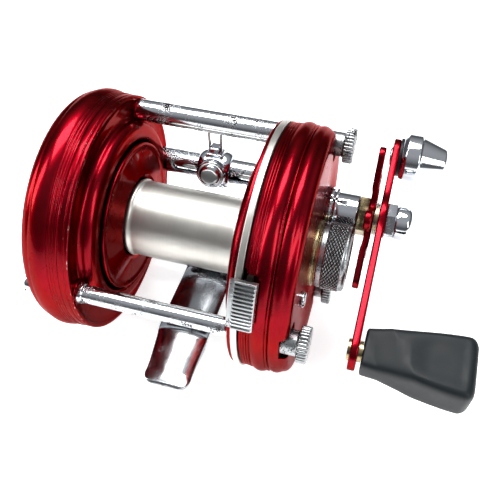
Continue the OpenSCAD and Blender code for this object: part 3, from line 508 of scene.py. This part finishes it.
neck = block([-1.25, -1.3, 3.4], [1.25, 1.3, 7.6], carrier_at)
shoulders = block([-2.2, -1.6, 3.4], [2.2, 1.6, 5.8], carrier_at)
legs = [block([i * 1.8 - 0.45, -0.9, -6.2], [i * 1.8 + 0.45, 0.9, -3.6], carrier_at) for i in (-1, 0, 1)]
casting = mesh_of("carrier_casting", [(barrel, True), boss, neck, shoulders, *legs])
fuse = casting.modifiers.new("fuse", "REMESH")
fuse.mode, fuse.voxel_size = "VOXEL", 0.00013
smooth = casting.modifiers.new("soften", "SMOOTH")
smooth.factor, smooth.iterations = 0.5, 6
settle(casting)
shade(casting.data, 60)
finished(casting, "carrier", clean_chrome, "chrome", "line_carrier")

cap = turned_to(turned(soften([[5.7, 0.01], [5.7, 2.95], [6.5, 2.95], [7.1, 2.2], [7.1, 0.01]], 0.5, 8),
                       [0, 0, 0], 1, 64), pawl_way, carrier_at)
finished(mesh_of("pawl_cap_disc", [cap]), "carrier", clean_chrome, "chrome", "pawl_cap")


def wire_along(path, r, sides=16):
    """A round wire along a path in a plane across Y: each point's ring spans Y and the path's normal."""
    way = np.gradient(path, axis=0)
    way = way / np.linalg.norm(way, axis=1, keepdims=True)
    normal = np.stack([way[:, 2], 0 * way[:, 0], -way[:, 0]], -1)
    turn = np.linspace(0, 2 * np.pi, sides, endpoint=False)
    return (path[:, None] + r * np.cos(turn)[None, :, None] * normal[:, None]
            + r * np.sin(turn)[None, :, None] * np.array([0, 1, 0]))


wire_top = reach("guide_wire", 2)[1] - carrier_at[2] - 0.4
up = np.linspace(5.2, wire_top - 1.75, 24)
bow = np.linspace(0, np.pi, 25)[1:-1]
leg = np.stack([1.5 + 0.25 * (up - 5.2) / (wire_top - 7), 0 * up, up], -1)
top_arc = np.stack([1.75 * np.cos(bow), 0 * bow, wire_top - 1.75 + 1.75 * np.sin(bow)], -1)
path = np.vstack([leg, top_arc, leg[::-1] * [-1, 1, 1]]) + carrier_at
loop = mesh_of("guide_loop", [wire_along(path, 0.4)], 60)
finished(loop, "carrier", clean_chrome, "chrome", "guide_wire")


# ---- Left cup ----
# Spun from aluminium, red anodised: a crowned band round the side, a fine bead and a round shoulder.
# It covers the brake and the left bearing, and three slotted chrome screws hold it.
left_depth = -face_x - reach("left_cup", 0)[0]


def crown(t0, t1, r, h, n):
    """A band between two places along the axis that stands h out from radius r, as half a sine
    raised to the power 0.8, in n points."""
    s = np.linspace(0, 1, n)
    return np.stack([t0 + (t1 - t0) * s, r + h * np.sin(np.pi * s) ** 0.8], -1).tolist()


outer = ([[2.5, plate_r - 1.3], [2.5, plate_r - 0.25], [2.75, plate_r]]
         + crown(3.0, 3.6, plate_r, 0.14, 7) + crown(3.7, 4.3, plate_r, 0.14, 7)
         + crown(4.4, 5.0, plate_r, 0.16, 7)
         + crown(5.15, 9.3, plate_r + 0.05, 0.6, 30)
         + [[left_depth - 3.3 + 3.3 * np.sin(a), plate_r - 4.0 + 3.95 * np.cos(a)]
            for a in np.linspace(0.1, 1.5, 24)] + [[left_depth, plate_r - 6.4]])
dish = [[left_depth, plate_r - 7.0], [left_depth - 0.35, plate_r - 7.6], [left_depth - 0.35, 9.5],
        [left_depth, 8.8], [left_depth, 0.01]]
inside = [[left_depth - 1.3, 0.01], [left_depth - 1.3, plate_r - 4.5], [left_depth - 4.0, plate_r - 1.3],
          [2.5, plate_r - 1.3]]
profile = np.vstack([outer, soften(dish, 0.3), inside])
cup = mesh_of("left_cup_shell", [turned(profile, left_centre, -1, 256)])
pocket = [[left_depth - 1.55, 0.01], [left_depth - 1.55, 3.0], [left_depth + 2, 3.0],
          [left_depth + 2, 0.01]]
carve(cup, [mesh_of("pocket", [turned(pocket, [-face_x, *p], -1, 48)]) for p in screw_places])
wear_along(cup, [[face_x + 8.8, plate_r + 0.1], [face_x + 2.7, plate_r - 0.1]], 0.3)
finished(cup, "frame", anodised_red, "red_anodised", "left_cup")

head = soften([[left_depth - 1.6, 0.01], [left_depth - 1.6, 2.75], [left_depth + 0.1, 2.75],
               [left_depth + 0.5, 2.2], [left_depth + 0.5, 0.01]], 0.5, 8)
screws = mesh_of("left_screw_heads", [turned(head, [-face_x, *p], -1, 64) for p in screw_places])
carve(screws, [mesh_of("driver_slot", [block([-face_x - left_depth - 2, -3.2, -0.4],
                                             [-face_x - left_depth + 0.4, 3.2, 0.4], [0, *p])])
               for p in screw_places])
finished(screws, "frame", clean_chrome, "chrome", "left_screws")


# ---- Right cup ----
# Spun and anodised like the left one, with two crowned bands, fine grooves near the silver ring and
# pockets for the take-down screws. The thumb lever's arm comes out of a slot in its open edge.
right_depth = span("right_cup")[1]
outer = ([[2.62, plate_r - 1.3], [2.62, plate_r - 0.1], [2.75, plate_r + 0.05]]
         + crown(3.2, 3.7, plate_r - 0.1, 0.12, 7) + crown(3.8, 4.3, plate_r - 0.05, 0.14, 7)
         + crown(4.4, 4.9, plate_r, 0.16, 7) + crown(5.05, 8.2, plate_r + 0.05, 0.62, 24)
         + crown(8.35, 8.8, plate_r + 0.1, 0.14, 7) + crown(8.95, 11.3, plate_r - 0.15, 0.4, 20)
         + [[right_depth - 1.7 + 1.7 * np.sin(a), plate_r - 2.1 + 1.7 * np.cos(a)]
            for a in np.linspace(0.2, 1.55, 10)])
face = [[right_depth, plate_r - 2.4], [right_depth, 16.0], [right_depth - 0.25, 15.6],
        [right_depth - 0.25, 0.01]]
inside = [[right_depth - 1.3, 0.01], [right_depth - 1.3, plate_r - 3],
          [right_depth - 3.1, plate_r - 1.3], [2.62, plate_r - 1.3]]
profile = np.vstack([outer, face, inside])
cup = mesh_of("right_cup_shell", [turned(profile, right_centre, 1, 256)])
screw_seat = right_depth - 1.8
pocket = [[screw_seat, 0.01], [screw_seat, 4.3], [right_depth + 2, 4.3], [right_depth + 2, 0.01]]
pockets = [mesh_of("pocket", [turned(pocket, [face_x, *p], 1, 64)]) for p in screw_places]


def wedge(t0, t1, r0, r1, a0, a1, slant=0.0):
    """A block between two radii and two angles about the spool axis, on the right side. With a slant,
    its outer end narrows towards its second angle, as a triangle does."""
    a = np.radians(np.linspace(a0, a1, 24))
    end = t1 - slant * np.linspace(1, 0, 24)
    section = np.array([[0, r0], [1, r0], [1, r1], [0, r1]], float)
    t = t0 + section[:, :1] * (end - t0)[None, :]
    r = section[:, 1:] + 0 * a
    rows = np.stack([face_x + t, spool_axis[1] + r * np.cos(a), spool_axis[2] + r * np.sin(a)], -1)
    return capped(rows.transpose(1, 0, 2))


lever_slot = mesh_of("lever_slot", [wedge(2.0, 5.6, plate_r - 3, plate_r + 3, 144, 156, 2.6)])
carve(cup, pockets + [lever_slot])
wear_along(cup, [[face_x + 8.4, plate_r + 0.1], [face_x + 2.95, plate_r - 0.1],
                 [face_x + right_depth - 0.4, plate_r - 0.9]], 0.3)
finished(cup, "frame", anodised_red, "red_anodised", "right_cup")


# ---- Take-down screws ----
# Three long screws hold the right side on. Each has a plain shank and a knurled head, in chrome, so
# that the side comes off by hand.
head_t0 = screw_seat + 3.7
profile = soften([[screw_seat, 0.01], [screw_seat, 2.85], [head_t0 - 0.1, 2.85], [head_t0, 3.4],
                  [head_t0 + 0.1, 4.0], [head_t0 + 2.2, 4.0], [head_t0 + 2.4, 3.5],
                  [head_t0 + 2.4, 0.01]], 0.3, 5)


def straight_knurl(t, angle, r):
    """Thirty ridges along the head, 0.28 mm high: a sine's size to the power 0.7. They fade out at
    its two rounded edges."""
    ridge = np.abs(np.sin(15 * angle)) ** 0.7
    return 0.28 * (ridge - 0.6) * np.clip((r - 3.3) / 0.5, 0, 1) * (t > head_t0 - 0.05)


for name in ("takedown_screw_top", "takedown_screw_rear", "takedown_screw_front"):
    centre = [face_x, *middle(name)[1:]]
    screw = mesh_of(name + "_head", [turned(profile, centre, 1, 240, straight_knurl)], 50)
    # Painted shade: the knurl's grooves are darkened by their depth.
    store_groove_shade(screw, centre, 4.05, 0.3, head_t0 + 0.1, head_t0 + 2.2)
    finished(screw, name.replace("takedown_", ""), knurled_chrome, "chrome", name)


# ---- Shaft sleeve ----
# A turned brass tube, chrome plated and screwed into the cup round the drive shaft. A serrated steel
# ring and a thin flange lock it.
gear_at = [face_x, *middle("drive_gear")[1:]]
sleeve_end = span("shaft_sleeve")[1]
sleeve_r = 5.2
profile = soften([[right_depth - 1, 0.01], [right_depth - 1, sleeve_r], [sleeve_end - 0.2, sleeve_r],
                  [sleeve_end, sleeve_r - 0.3], [sleeve_end, 4.3], [sleeve_end - 0.5, 4.3],
                  [sleeve_end - 0.5, 0.01]], 0.2)
sleeve = mesh_of("sleeve_tube", [turned(profile, gear_at, 1, 128)])
finished(sleeve, "frame", clean_chrome, "chrome", "shaft_sleeve")


def serration(t, angle, r):
    """Eighteen notches across the ring's rim, 0.25 mm deep."""
    return -0.25 * (np.sin(18 * angle) > 0.2) * (r > 5.5)


profile = soften([[right_depth - 0.3, 5.15], [right_depth - 0.3, 5.95], [right_depth + 1.2, 5.95],
                  [right_depth + 1.2, 5.15]], 0.15)
rings = mesh_of("locking_ring", [turned(profile, gear_at, 1, 144, serration)], 30)
finished(rings, "frame", clean_chrome, "steel", "sleeve_ring")
profile = soften([[right_depth + 1.7, 5.15], [right_depth + 1.7, 6.05], [right_depth + 2.3, 6.05],
                  [right_depth + 2.3, 5.15]], 0.15)
lip = mesh_of("sleeve_flange", [turned(profile, gear_at, 1, 96)])
finished(lip, "frame", clean_chrome, "chrome")


# ---- Spool tension cap ----
# A brass collar screwed into the cup carries the chromed cap, whose diamond knurling is worn through
# in places. Turning the cap presses on the spool's shaft.
brass, tree, shader, place = new_material("turned_brass")
stretch = node(tree, "Mapping", {"Scale": (3000.0, 90.0, 90.0)}, {"Vector": place})
marks = node(tree, "TexNoise", {"Scale": 1.0, "Detail": 3.0}, {"Vector": stretch.outputs[0]})
stain = node(tree, "TexNoise", {"Scale": 420.0, "Detail": 4.0}, {"Vector": place})
tone = ramp(tree, stain.outputs["Fac"], 0.35, linear("#7A6A4E"), 0.65, linear("#C2B08A"))
lines = node(tree, "Bump", {"Strength": 0.2, "Distance": 0.00003}, {"Height": marks.outputs["Fac"]})
dress(tree, shader, tone, spread(tree, stain, 0.2, 0.38), lines)
cap_t0, cap_t1 = span("tension_cap")
profile = soften([[right_depth - 1, 0.01], [right_depth - 1, 8.0], [right_depth + 0.45, 8.0],
                  [right_depth + 0.5, 7.4], [right_depth + 0.75, 7.4], [right_depth + 0.8, 7.8],
                  [cap_t0 + 0.4, 7.8], [cap_t0 + 0.4, 0.01]], 0.12)
collar = mesh_of("brass_collar", [turned(profile, right_centre, 1, 144)])
finished(collar, "frame", brass, "brass", "cap_collar")
band_t0, band_t1 = cap_t0 + 1.7, cap_t1 - 1.3
inner_rows = np.linspace(band_t0, band_t1, 72)
profile = np.vstack([[[cap_t0, 0.01]], soften([[cap_t0, 7.3], [cap_t0, 7.8], [cap_t0 + 0.3, 7.9],
                     [band_t0 - 0.2, 7.9], [band_t0 - 0.1, 8.0]], 0.15),
                     np.stack([inner_rows, 0 * inner_rows + 8.05], -1),
                     soften([[band_t1 + 0.1, 7.95], [cap_t1 - 0.5, 7.9], [cap_t1, 7.35], [cap_t1, 5.1],
                             [cap_t1 - 0.3, 4.7], [cap_t1 - 0.3, 0.01]], 0.4, 6)])


def diamond_knurl(t, angle, r):
    """Crossed rows of small pyramids: two sets of 40 slanting grooves, 0.32 mm deep."""
    inside_band = (t > band_t0) & (t < band_t1)
    slant = (t - band_t0) / 8.1 * 1.7
    a = np.abs(np.sin(20 * (angle + slant)))
    b = np.abs(np.sin(20 * (angle - slant)))
    return inside_band * (0.32 * np.minimum(a, b) - 0.2)


cap = mesh_of("tension_knob", [turned(profile, right_centre, 1, 528, diamond_knurl)], 60)
# Painted shade: the knurl's grooves are darkened by their depth.
store_groove_shade(cap, right_centre, 8.06, 0.14, band_t0, band_t1)
finished(cap, "cap", knurled_chrome, "chrome", "tension_cap")


# ---- Small face screw ----
# A slotted brass screw, chrome plated and turned in from outside, on the cup's face below the cap. It
# holds the click spring.
at = [face_x, *middle("face_screw")[1:]]
head = mesh_of("face_screw_head", [turned(soften([[right_depth - 1, 0.01], [right_depth - 1, 1.8],
                                                  [right_depth + 0.7, 1.8], [right_depth + 0.95, 1.4],
                                                  [right_depth + 0.95, 0.01]], 0.3), at, 1, 48)])
carve(head, [mesh_of("slot", [block([face_x + right_depth + 0.45, -2.2, -0.3],
                                    [face_x + right_depth + 2, 2.2, 0.3], [0, at[1], at[2]])])])
finished(head, "frame", clean_chrome, "chrome", "face_screw")


# ---- Star drag ----
# Five flat arms stamped from aluminium, anodised red and set down towards the cup, on a brass
# six-sided nut. Two bowed brass washers keep it from turning by itself.

def flat_piece(outline, t0, t1, edge, centre, bend=None, rings=28, steps=5):
    """A flat piece across X with rounded edges. The outline is the distance from the centre at evenly
    spaced angles. Rows run from the middle of the back over the rim to the middle of the front, and a
    bend adds a height worked out from the distance along Y and Z."""
    angle = np.linspace(0, 2 * np.pi, len(outline), endpoint=False)
    rim = outline[:, None] * np.stack([np.cos(angle), np.sin(angle)], -1)
    way = np.roll(rim, -1, 0) - np.roll(rim, 1, 0)
    normal = np.stack([way[:, 1], -way[:, 0]], -1) / np.linalg.norm(way, axis=1, keepdims=True)
    a = np.radians(np.linspace(0, 90, steps))
    around = [(edge * (1 - np.cos(x)), t1 - edge + edge * np.sin(x)) for x in a]
    under = [(i, t0 + t1 - t) for i, t in around[::-1]]
    shares = np.linspace(0, 1, rings)
    flat_rim = rim - edge * normal
    rows = [np.column_stack([np.full(len(rim), t0), s * flat_rim]) for s in shares[:-1]]
    rows += [np.column_stack([np.full(len(rim), t), rim - i * normal]) for i, t in under + around]
    rows += [np.column_stack([np.full(len(rim), t1), s * flat_rim]) for s in shares[::-1][1:]]
    grid = np.array(rows)
    if bend:
        grid[..., 0] += bend(grid[..., 1], grid[..., 2])
    return grid + np.array(centre)


def arm_reach(angle, way, length, w, tip):
    """Distance from the centre to the edge of one arm: a straight side w away from its middle line,
    and a round tip of radius tip whose middle is at length."""
    d = np.abs(np.mod(angle - way + np.pi, 2 * np.pi) - np.pi)
    side = w / np.maximum(np.sin(d), 1e-4)
    under_root = tip**2 - (length * np.sin(d)) ** 2
    round_end = length * np.cos(d) + np.sqrt(np.maximum(under_root, 0))
    at_tip = np.minimum(round_end, np.maximum(side, length * 0.98))
    return np.where(d < np.pi / 2, np.where(under_root > 0, at_tip, np.minimum(side, length)), 0)


star_angle = np.linspace(0, 2 * np.pi, 1440, endpoint=False)
star_t0, hub_top = span("star_wheel")
hub_rise = 0.5
star_t1 = hub_top - hub_rise
star_tip = 2.3
star_reach = 18.2 - star_tip
first_arm = np.radians(66.7)
arms = [arm_reach(star_angle, first_arm + i * 2 * np.pi / 5, star_reach, star_tip * 0.98, star_tip)
        for i in range(5)]
star_outline = (np.max(arms, 0) ** 7 + 4.9**7) ** (1 / 7)


def set_down(y, z):
    """The hub stands its full height, and the arms step 0.3 mm down towards the cup between 6.8 and
    9 mm from the middle, along a cubic that eases at both ends."""
    share = np.clip((np.hypot(y, z) - 6.8) / 2.2, 0, 1)
    return hub_rise - 0.3 * share**2 * (3 - 2 * share)


star_grid = flat_piece(star_outline, star_t0, star_t1, 0.35, gear_at, set_down, 40)
star = mesh_of("star_arms", [star_grid], 40)
finished(star, "star", anodised_red, "red_anodised", "star_wheel")


def hexagon(corner_r):
    """Distance from the middle to a six-sided nut's edge at 360 angles, from its corner radius: the
    flat's distance over the cosine of the angle from the middle of the flat."""
    a = np.mod(np.linspace(0, 2 * np.pi, 360, endpoint=False), np.pi / 3) - np.pi / 6
    return corner_r * np.cos(np.pi / 6) / np.cos(a)


t0, t1 = span("star_nut")
nut = mesh_of("brass_nut", [flat_piece(hexagon(4.95), t0 + 0.02, t1, 0.25, gear_at)], 25)
finished(nut, "star", brass, "brass", "star_nut")


# ---- Handle ----
# A flat arm stamped from aluminium and anodised red, held by a six-sided nut under a round chromed
# cover. It carries the knob on its long end, and a turned and chromed weight on its short end.
arm_t0, arm_t1 = span("handle_arm")
knob_at = np.array([face_x, *middle("knob_spindle")[1:]])
weight_at = np.array([face_x, *middle("counterweight")[1:]])
to_knob = (knob_at - gear_at)[1:]
to_weight = (weight_at - gear_at)[1:]
angle = np.linspace(0, 2 * np.pi, 2880, endpoint=False)
long_arm = arm_reach(angle, np.arctan2(to_knob[1], to_knob[0]), np.hypot(*to_knob), 4.6, 4.6)
short_arm = arm_reach(angle, np.arctan2(to_weight[1], to_weight[0]), np.hypot(*to_weight), 4.6, 4.6)
arm_outline = (np.maximum(long_arm, short_arm) ** 8 + 5.7**8) ** (1 / 8)
arm = mesh_of("crank_arm", [flat_piece(arm_outline, arm_t0, arm_t1, 0.4, gear_at, rings=48)], 40)
finished(arm, "handle", anodised_red, "red_anodised", "handle_arm")

steel_grey = chrome_plated("nickel_plated_steel", 1.16, 0.2, 0.3)
hexnut = mesh_of("arm_nut", [flat_piece(hexagon(4.5), *span("handle_nut"), 0.3, gear_at)], 25)
finished(hexnut, "handle", steel_grey, "steel", "handle_nut")
t0, t1 = span("nut_cover")
profile = soften([[t0, 0.01], [t0, 4.05], [t0 + 0.4, 4.2], [t1 - 1.3, 4.2], [t1 - 0.4, 3.6],
                  [t1, 2.6], [t1, 0.01]], 0.8, 8)
cover = mesh_of("cover_cap", [turned(profile, gear_at, 1, 96)])
finished(cover, "handle", clean_chrome, "chrome", "nut_cover")

t0, t1 = arm_t1, span("counterweight")[1]
profile = soften([[t0 + 0.8, 0.01], [t0 + 0.8, 5.5], [t0 + 1.9, 6.5], [t0 + 5.2, 6.5], [t0 + 5.6, 6.1],
                  [t1 - 0.5, 4.0], [t1, 3.4], [t1, 0.01]], 0.25, 6)
weight = mesh_of("weight_cone", [turned(profile, weight_at, 1, 128)])
finished(weight, "handle", clean_chrome, "chrome", "counterweight")

# Moulded soft plastic: near black with a faint green-grey cast, a fine matt grain about 0.2 mm
# across, and a broad soft gloss on its rounded edges.
soft_plastic, tree, shader, place = new_material("soft_touch_plastic_black")
grain = node(tree, "TexNoise", {"Scale": 5200.0, "Detail": 2.0}, {"Vector": place})
cloud = node(tree, "TexNoise", {"Scale": 180.0, "Detail": 3.0}, {"Vector": place})
tone = node(tree, "MixRGB", {"Color1": linear("#0C1114"), "Color2": linear("#12181B")},
            {"Fac": cloud.outputs["Fac"]})
fine = node(tree, "Bump", {"Strength": 0.25, "Distance": 0.00004}, {"Height": grain.outputs["Fac"]})
dress(tree, shader, tone, spread(tree, cloud, 0.4, 0.52), fine, 0.0)
shader.inputs["IOR"].default_value = 1.5
shader.inputs["Specular IOR Level"].default_value = 0.2
base = mesh_of("weight_base", [turned(soften([[arm_t1, 0.01], [arm_t1, 5.0], [arm_t1 + 0.85, 5.0],
                                              [arm_t1 + 0.85, 0.01]], 0.2), weight_at, 1, 96)])
finished(base, "handle", soft_plastic, "black_plastic")
rivets = [turned(soften([[arm_t0 - 0.65, 0.01], [arm_t0 - 0.65, r - 0.5], [arm_t0 - 0.2, r], [arm_t0, r],
                         [arm_t0, 0.01]], 0.3), p, 1, 48) for p, r in ((weight_at, 2.5), (knob_at, 2.4))]
finished(mesh_of("arm_rivets", rivets), "handle", clean_chrome, "chrome")


# ---- Knob ----
# A paddle moulded round a bushing, narrow at the arm and broad at its end, with two dished faces
# for finger and thumb. It turns on a brass spindle riveted to the arm.
t0, t1 = arm_t1 + 1, span("knob")[1]
length = t1 - t0
s = np.linspace(0, 1, 120)[:, None]
turn = np.linspace(0, 2 * np.pi, 128, endpoint=False)[None, :]


def ease(x, a, b):
    """Runs from 0 at a to 1 at b and eases at both ends."""
    x = np.clip((x - a) / (b - a), 0, 1)
    return x * x * (3 - 2 * x)


end_round, neck_round, neck_half, end_half, thick_half = 2.4, 0.5, 4.6, 7.75, 5.35
squareness = 0.27
to_tip = np.clip(length * (1 - s) / end_round, 0, 1)
from_neck = np.clip(length * s / neck_round, 0, 1)
tuck = (end_round * (1 - np.sqrt(1 - (1 - to_tip) ** 2))
        + neck_round * (1 - np.sqrt(1 - (1 - from_neck) ** 2)))
flare = 0.55 * ease(s, -0.35, 0.9) + 0.45 * ease(s, 0.1, 1.0)
half_w = neck_half + (end_half - neck_half) * flare - 0.2 - tuck
half_t = thick_half - tuck * 0.9
c, d = np.cos(turn), np.sin(turn)
wide = half_w * np.sign(c) * np.abs(c) ** squareness
thick = half_t * np.sign(d) * np.abs(d) ** squareness
cheek = np.clip((0.34 - 0.2 * wide / end_half - s) / 0.3, 0, 1) * 2.1
thick = thick - np.sign(d) * np.minimum(cheek, np.abs(thick) * 0.9)
hollow = np.clip(1 - (wide / (half_w * 0.8 + 1e-6)) ** 2, 0, 1) * (np.abs(d) ** squareness > 0.9)
dish = 0.5 * ease(s, 0.35, 0.6) * (1 - ease(s, 0.85, 1.0)) * hollow
thick = thick - np.sign(d) * dish
roll = np.radians(9)
knob_grid = np.stack([t0 + length * s + 0 * turn, wide * np.cos(roll) - thick * np.sin(roll),
                      wide * np.sin(roll) + thick * np.cos(roll)], -1) + knob_at
knob = mesh_of("paddle", [capped(knob_grid)], 60)
finished(knob, "knob", soft_plastic, "black_plastic", "knob")


# ---- Thumb lever ----
# One chromed stamping: a plate inside the cup, a thin arm out through the slot and a ribbed pad
# behind the rim for the thumb, which presses it down to free the spool.
pad_a0, pad_a1 = 148.0, 167.5
pad_rows = np.radians(np.linspace(pad_a0, pad_a1, 200))
x_in, x_out = 0.4, 6.3
pad_in, pad_top = plate_r + 1.4, plate_r + 2.7
rib_phase = (pad_rows - pad_rows[0]) / (pad_rows[-1] - pad_rows[0]) * 12.5
rib = 0.45 * np.clip(np.sin(2 * np.pi * rib_phase) * 1.6 + 0.3, 0, 1)
section = [[x_in, pad_in], [x_in + 0.15, pad_top - 0.15], [x_in + 0.3, pad_top], [x_in + 1.1, pad_top],
           [x_in + 1.4, None], [x_out - 0.5, None], [x_out - 0.3, pad_top + 0.2],
           [x_out - 0.1, pad_top + 0.1], [x_out, pad_top - 0.2], [x_out, pad_in]]
columns = [np.stack([face_x + t + 0 * pad_rows, (r if r else pad_top + rib) * np.cos(pad_rows),
                     (r if r else pad_top + rib) * np.sin(pad_rows)], -1) for t, r in section]
pad = capped(np.stack(columns, 1) + np.array([0, *spool_axis[1:]]))
lever_arm = wedge(3.7, 4.9, plate_r - 3.8, plate_r + 1.8, 146, 150.5)
lever_leaf = wedge(3.7, 4.9, plate_r - 3.9, plate_r - 1.7, 118, 150)
lever = mesh_of("thumb_pad", [pad, lever_arm, lever_leaf], 30)
# Painted shade: the grooves between the pad's ribs are darkened by their depth.
store_groove_shade(lever, [0, *spool_axis[1:]], pad_top + 0.35, 0.3, face_x + x_in + 1.3, face_x + x_out - 0.5)
finished(lever, "thumb_lever", knurled_chrome, "chrome", "thumb_lever")


# ---- Works inside ----
# The gears are cut from brass, the ratchet, dog and springs are steel, and the brake blocks and drag
# washers are fibre. Nylon carries what runs dry. Each keeps its designed shape.
plain_steel = chrome_plated("ground_steel", 1.3, 0.25, 0.35)


def dry_material(name, dark, light, grit, low, high):
    """Fibre or nylon: two close tones in a soft mottle, matt, with a fine grain."""
    made, tree, shader, place = new_material(name)
    mottle = node(tree, "TexNoise", {"Scale": grit, "Detail": 4.0}, {"Vector": place})
    tone = node(tree, "MixRGB", {"Color1": linear(dark), "Color2": linear(light)},
                {"Fac": mottle.outputs["Fac"]})
    dress(tree, shader, tone, spread(tree, mottle, low, high, 0.0, 1.0), metallic=0.0)
    return made


fibre = dry_material("pressed_fibre", "#4A2A18", "#7A4A2C", 900.0, 0.65, 0.85)
nylon = dry_material("moulded_nylon", "#D8D3C2", "#E8E4D6", 300.0, 0.35, 0.5)
kinds = {"red_anodised": anodised_red, "satin_aluminium": satin_aluminium, "chrome": clean_chrome,
         "steel": plain_steel, "brass": brass, "black_plastic": soft_plastic, "fibre": fibre,
         "nylon": nylon}
slot_of = {part["node"]: part["material_slot"] for part in frame["record"]["subparts"]}
for name, part in frame["nodes"].items():
    part.data.materials.clear()
    part.data.materials.append(kinds[slot_of[name]])


# ---- Studio ----
# A pale floor under the foot, a large soft light overhead and a softer one at each side, in a grey
# room that is darker at eye level than above.
bpy.ops.mesh.primitive_plane_add(size=6, location=(0, 0, 0))
floor = bpy.context.object
floor.name = "studio_floor"
pale, tree, shader, place = new_material("pale_floor")
shader.inputs["Base Color"].default_value = linear("#F4F4F4")
shader.inputs["Roughness"].default_value = 0.9
shader.inputs["Emission Color"].default_value = linear("#FFFFFF")
shader.inputs["Emission Strength"].default_value = 0.72
floor.data.materials.append(pale)


def softbox(name, place, aim, width, height, power):
    """A rectangular light at a place, turned towards a point, both in metres."""
    light = bpy.data.lights.new(name, "AREA")
    light.shape, light.size, light.size_y, light.energy = "RECTANGLE", width, height, power
    made = bpy.data.objects.new(name, light)
    turn = (Vector(aim) - Vector(place)).to_track_quat("-Z", "Y")
    made.matrix_world = Matrix.Translation(place) @ turn.to_matrix().to_4x4()
    bpy.context.scene.collection.objects.link(made)


aim = (0.01, 0, 0.03)
softbox("overhead", (-0.08, 0.12, 0.6), aim, 0.45, 0.3, 6)
softbox("left_side", (-0.55, -0.15, 0.35), aim, 0.16, 0.5, 3)
softbox("right_side", (0.6, -0.35, 0.45), aim, 0.2, 0.5, 2.5)
world = bpy.data.worlds.new("studio")
bpy.context.scene.world = world
world.use_nodes = True
sky_tree = world.node_tree
direction = node(sky_tree, "TexCoord").outputs["Generated"]
height = node(sky_tree, "SeparateXYZ", links={0: direction}).outputs["Z"]
up_share = node(sky_tree, "MapRange", {"From Min": -1.0, "From Max": 1.0}, {"Value": height})
room = ramp(sky_tree, up_share.outputs[0], 0.45, (0.30, 0.30, 0.31, 1), 0.9, (0.60, 0.61, 0.63, 1))
step = room.color_ramp.elements.new(0.62)
step.color = (0.12, 0.12, 0.13, 1)
sky_tree.links.new(room.outputs[0], sky_tree.nodes["Background"].inputs["Color"])
sky_tree.nodes["Background"].inputs["Strength"].default_value = 0.8

camera = bpy.data.cameras.new("camera")
camera.lens, camera.sensor_width = 46.8, 36
camera.clip_start = 0.01
eye = bpy.data.objects.new("camera", camera)
forward = Vector((-0.18633, 0.65315, -0.73394)).normalized()
sideways = forward.cross(Vector((0, 0, 1))).normalized()
upwards = sideways.cross(forward)
turn = Matrix((sideways, upwards, -forward)).transposed()
eye.matrix_world = Matrix.Translation((0.04504, -0.10558, 0.14574)) @ turn.to_4x4()
bpy.context.scene.collection.objects.link(eye)
bpy.context.scene.camera = eye
bpy.context.scene.view_settings.view_transform = "Standard"
